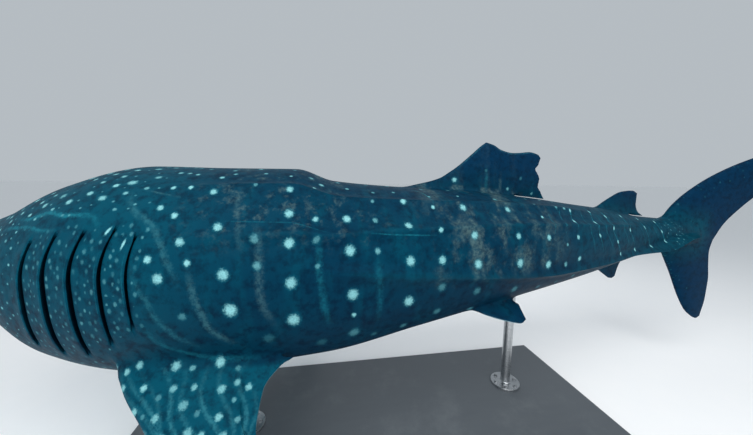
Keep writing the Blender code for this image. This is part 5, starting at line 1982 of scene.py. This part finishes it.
@dataclass
class Stand:
    """A lacquered board with two steel rods, each bolted down through a round flange."""

    body: BodyForm
    board: BoardFinish
    steel: SteelFinish
    length: float = 3.20
    width: float = 1.20
    height: float = 0.060
    corner: float = 0.012
    soft_edge: float = 0.008
    rods: tuple[tuple[str, float], ...] = (("front", 1.78), ("rear", 3.74))
    rod_radius: float = 0.035
    around: int = 64
    flange_radius: float = 0.110
    flange_height: float = 0.016
    flange_edge: float = 0.003
    weld: float = 0.014
    sink: float = 0.050
    gap: float = 0.0003
    bolts: int = 6
    bolt_circle: float = 0.082
    bolt_radius: float = 0.011
    bolt_height: float = 0.009
    washer_spread: float = 1.35
    washer_share: float = 0.4
    crease: float = 35.0
    rod_crease: float = 50.0

    def base(self) -> Object:
        """The board, with rounded corners and soft edges."""
        builder = bmesh.new()
        bmesh.ops.create_cube(builder, size=1.0)
        for vertex in builder.verts:
            x, y, z = vertex.co
            vertex.co = Vector((x * self.length, y * self.width, (z + 0.5) * self.height))
        upright = [e for e in builder.edges if e.calc_length() < 2.0 * self.height]
        bmesh.ops.bevel(builder, geom=upright, offset=self.corner, segments=6, profile=0.5, affect="EDGES")
        mesh = bpy.data.meshes.new("display_board")
        builder.to_mesh(mesh)
        builder.free()
        board = add_object("display_board", mesh)
        bevel = board.modifiers.new("soft_edges", "BEVEL")
        bevel.width = self.soft_edge
        bevel.segments = 4
        bevel.limit_method = "ANGLE"
        bevel.angle_limit = math.radians(self.crease)
        return dress(board, self.board.material(), self.crease)

    def foot(self, station: float) -> tuple[float, float]:
        """Where a rod stands on the board."""
        x, y, _ = self.body.midline.place(station, 0.0, 0.0)
        return float(x), float(y)

    def rod(self, label: str, station: float, material: Material) -> Object:
        """One turned rod with its flange and the weld between them."""
        x, y = self.foot(station)
        low = self.height + self.gap
        belly = self.body.midline.axis_height + float(self.body.outline_at(station)[1])
        radius, flange, top = self.rod_radius, self.flange_radius, low + self.flange_height
        weld = round_edge(radius, top, self.weld, np.linspace(math.pi / 2.0, 0.0, 6))
        rim = round_edge(flange, top, -self.flange_edge, np.linspace(0.0, math.pi / 2.0, 4))
        profile = [(radius, belly + self.sink), *weld, *rim, (flange, low)]
        turns = [2.0 * math.pi * j / self.around for j in range(self.around)]
        points = [(x + reach * math.cos(turn), y + reach * math.sin(turn), height)
                  for reach, height in profile for turn in turns]
        last = (len(profile) - 1) * self.around
        faces = ring_faces(len(profile), self.around)
        faces += [list(range(start, start + self.around)) for start in (0, last)]
        return dress(mesh_object("steel_rod_" + label, np.array(points), faces), material, self.rod_crease)

    def bolt_tree(self, material: Material) -> bpy.types.GeometryNodeTree:
        """A node tree that sets hexagon bolts on washers round each point of its mesh."""
        tree = bpy.data.node_groups.new("flange_bolts", "GeometryNodeTree")
        for way in ("INPUT", "OUTPUT"):
            tree.interface.new_socket("Geometry", in_out=way, socket_type="NodeSocketGeometry")
        pen = Pen(tree)
        feet = pen.add("NodeGroupInput").outputs["Geometry"]
        radius, height = self.bolt_radius, self.bolt_height
        circle = pen.shape("MeshCircle", {"Vertices": self.bolts, "Radius": self.bolt_circle})
        washer = pen.shape("MeshCylinder", {
            "Vertices": 32, "Radius": radius * self.washer_spread, "Depth": height * self.washer_share})
        head = pen.shape("MeshCylinder", {"Vertices": 6, "Radius": radius, "Depth": height})
        raised = pen.shape("Transform", {"Geometry": head, "Translation": (0.0, 0.0, 0.65 * height)})
        bolt = pen.add("GeometryNodeJoinGeometry")
        for part in (washer, raised):
            tree.links.new(part, bolt.inputs["Geometry"])
        ring = pen.shape("InstanceOnPoints", {"Points": circle, "Instance": bolt.outputs["Geometry"]})
        rings = pen.shape("InstanceOnPoints", {"Points": feet, "Instance": ring})
        real = pen.shape("RealizeInstances", {"Geometry": rings})
        pen.add("NodeGroupOutput", {
            "Geometry": pen.shape("SetMaterial", {"Geometry": real, "Material": material})})
        return tree

    def bolt_set(self, material: Material) -> Object:
        """The bolts of both flanges as one plain mesh."""
        half_washer = 0.5 * self.washer_share * self.bolt_height
        level = self.height + self.gap + self.flange_height + half_washer
        feet = bpy.data.meshes.new("flange_bolts")
        feet.from_pydata([(*self.foot(station), level) for _, station in self.rods], [], [])
        bolts = add_object("flange_bolts", feet)
        bolts.modifiers.new("bolts", "NODES").node_group = self.bolt_tree(material)
        bolts.data = plain_mesh(bolts)
        bolts.modifiers.clear()
        bolts.data.shade_flat()
        return bolts

    def build(self) -> dict[str, tuple[Object, tuple[str, ...], str]]:
        """Every piece of the stand, with the nodes that it replaces and its slot."""
        steel = self.steel.material()
        pieces = {"board": (self.base(), ("stand_base",), "board")}
        for label, station in self.rods:
            pieces["rod_" + label] = (self.rod(label, station, steel), ("stand_rod_" + label,), "steel")
        pieces["bolts"] = (self.bolt_set(steel), (), "steel")
        return pieces


@dataclass(frozen=True)
class Lamp:
    """One soft studio light: where it hangs, what it faces, its size, power and tint.

    One that doesn't shine lights a surface but leaves no gloss on it.
    """

    name: str
    place: tuple[float, float, float]
    aim: tuple[float, float, float]
    size: Span
    power: float
    tint: tuple[float, float, float]
    shines: bool = True


@dataclass
class Studio:
    """Pale floor, soft lights and the camera."""

    floor_finish: FloorFinish
    floor_size: float = 400.0
    camera_place: tuple[float, float, float] = (-0.3338, -1.8486, 1.6804)
    camera_yaw: float = 0.16619
    camera_pitch: float = 0.124019
    camera_roll: float = 0.00969
    camera_lens: float = 13.794
    sensor_width: float = 36.0
    world_tint: Colour = (0.80, 0.87, 0.93, 1.0)
    world_power: float = 0.58
    lamps: tuple[Lamp, ...] = (
        Lamp("sky_panel", (0.2, -2.8, 5.0), (0.4, 0.1, 1.2), (7.5, 3.6), 230.0, (1.0, 0.99, 0.97)),
        Lamp("front_panel", (-1.6, -5.6, 3.0), (-0.2, 0.0, 1.2), (5.0, 2.4), 125.0, (0.96, 0.98, 1.0)),
        Lamp("back_panel", (1.0, 5.4, 3.8), (0.6, 0.0, 1.2), (6.0, 3.0), 110.0, (0.97, 0.98, 1.0),
             shines=False),
    )

    def floor(self) -> Object:
        """The floor plane, marked as stage."""
        half = self.floor_size / 2.0
        corners = np.array([(-half, -half, 0.0), (half, -half, 0.0), (half, half, 0.0), (-half, half, 0.0)])
        floor = mesh_object("studio_floor", corners, [[0, 1, 2, 3]])
        floor.data.materials.append(self.floor_finish.material())
        floor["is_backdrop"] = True
        return floor

    def light(self, lamp: Lamp) -> Object:
        """One area light."""
        data = bpy.data.lights.new(lamp.name, "AREA")
        data.shape = "RECTANGLE"
        data.size, data.size_y = lamp.size
        data.energy = lamp.power
        data.color = lamp.tint
        light = add_object(lamp.name, data)
        way = Vector(lamp.aim) - Vector(lamp.place)
        light.matrix_world = Matrix.LocRotScale(Vector(lamp.place), way.to_track_quat("-Z", "Y"), None)
        light.visible_camera = False
        light.visible_glossy = lamp.shines
        return light

    def camera(self) -> Object:
        """The camera at the photograph's place and angle."""
        data = bpy.data.cameras.new("camera")
        data.lens = self.camera_lens
        data.sensor_width = self.sensor_width
        data.clip_start = 0.02
        camera = add_object("camera", data)
        yaw, pitch, roll = self.camera_yaw, self.camera_pitch, self.camera_roll
        ahead = Vector((math.sin(yaw) * math.cos(pitch), math.cos(yaw) * math.cos(pitch), -math.sin(pitch)))
        right = Vector((math.cos(yaw), -math.sin(yaw), 0.0))
        above = right.cross(ahead)
        turned = right * math.cos(roll) + above * math.sin(roll)
        raised = above * math.cos(roll) - right * math.sin(roll)
        axes = Matrix((turned, raised, -ahead)).transposed()
        camera.matrix_world = Matrix.Translation(self.camera_place) @ axes.to_4x4()
        bpy.context.scene.camera = camera
        return camera

    def build(self) -> None:
        """Floor, lights, world and camera."""
        self.camera()
        self.floor()
        for lamp in self.lamps:
            self.light(lamp)
        world = bpy.data.worlds.new("studio")
        world.use_nodes = True
        background = world.node_tree.nodes["Background"]
        background.inputs["Color"].default_value = self.world_tint
        background.inputs["Strength"].default_value = self.world_power
        bpy.context.scene.world = world
        bpy.context.scene.view_settings.view_transform = "Standard"


FLESH = (
    "head", "gill_region", "trunk", "tail_stalk", "dorsal_fin_first", "dorsal_fin_second", "anal_fin",
    "caudal_fin_upper", "caudal_fin_lower", "pectoral_fin_left", "pectoral_fin_right",
    "pelvic_fin_left", "pelvic_fin_right",
)


def settle(piece: Object, nodes: tuple[str, ...], slot: str) -> None:
    """Ties a finished piece to the frame.

    Args:
        piece: The piece.
        nodes: CAD nodes that it stands for.
        slot: Not used.
    """
    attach(piece, BODY)
    if nodes:
        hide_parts(*nodes)
    faces = len(piece.data.polygons)
    LOG.info("%s: %d faces, replaces %s", piece.name, faces, ", ".join(nodes) or "nothing")


def write_sizes() -> None:
    """Puts the CAD box and the visual model's box in a table, which is then dropped."""
    boxes = {"cad": CAD_BOX, "visual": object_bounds()}
    {name: [list(corner) for corner in box] for name, box in boxes.items()}


def main() -> None:
    """Builds every piece in order and ties it to the frame."""
    logging.basicConfig(level=logging.INFO, format="%(name)s %(message)s")
    body = BodyForm()
    head = HeadForm(body)
    Studio(FloorFinish()).build()
    settle(Skin(head, Gills(), FinSet(body), SkinFinish()).build(), FLESH, "skin")
    for side in Side:
        settle(Eye(head, side, EyeFinish()).build(), ("eye_" + side.label,), "eye")
    for piece, nodes, slot in Stand(body, BoardFinish(), SteelFinish()).build().values():
        settle(piece, nodes, slot)
    write_sizes()


if __name__ == "__main__":
    main()
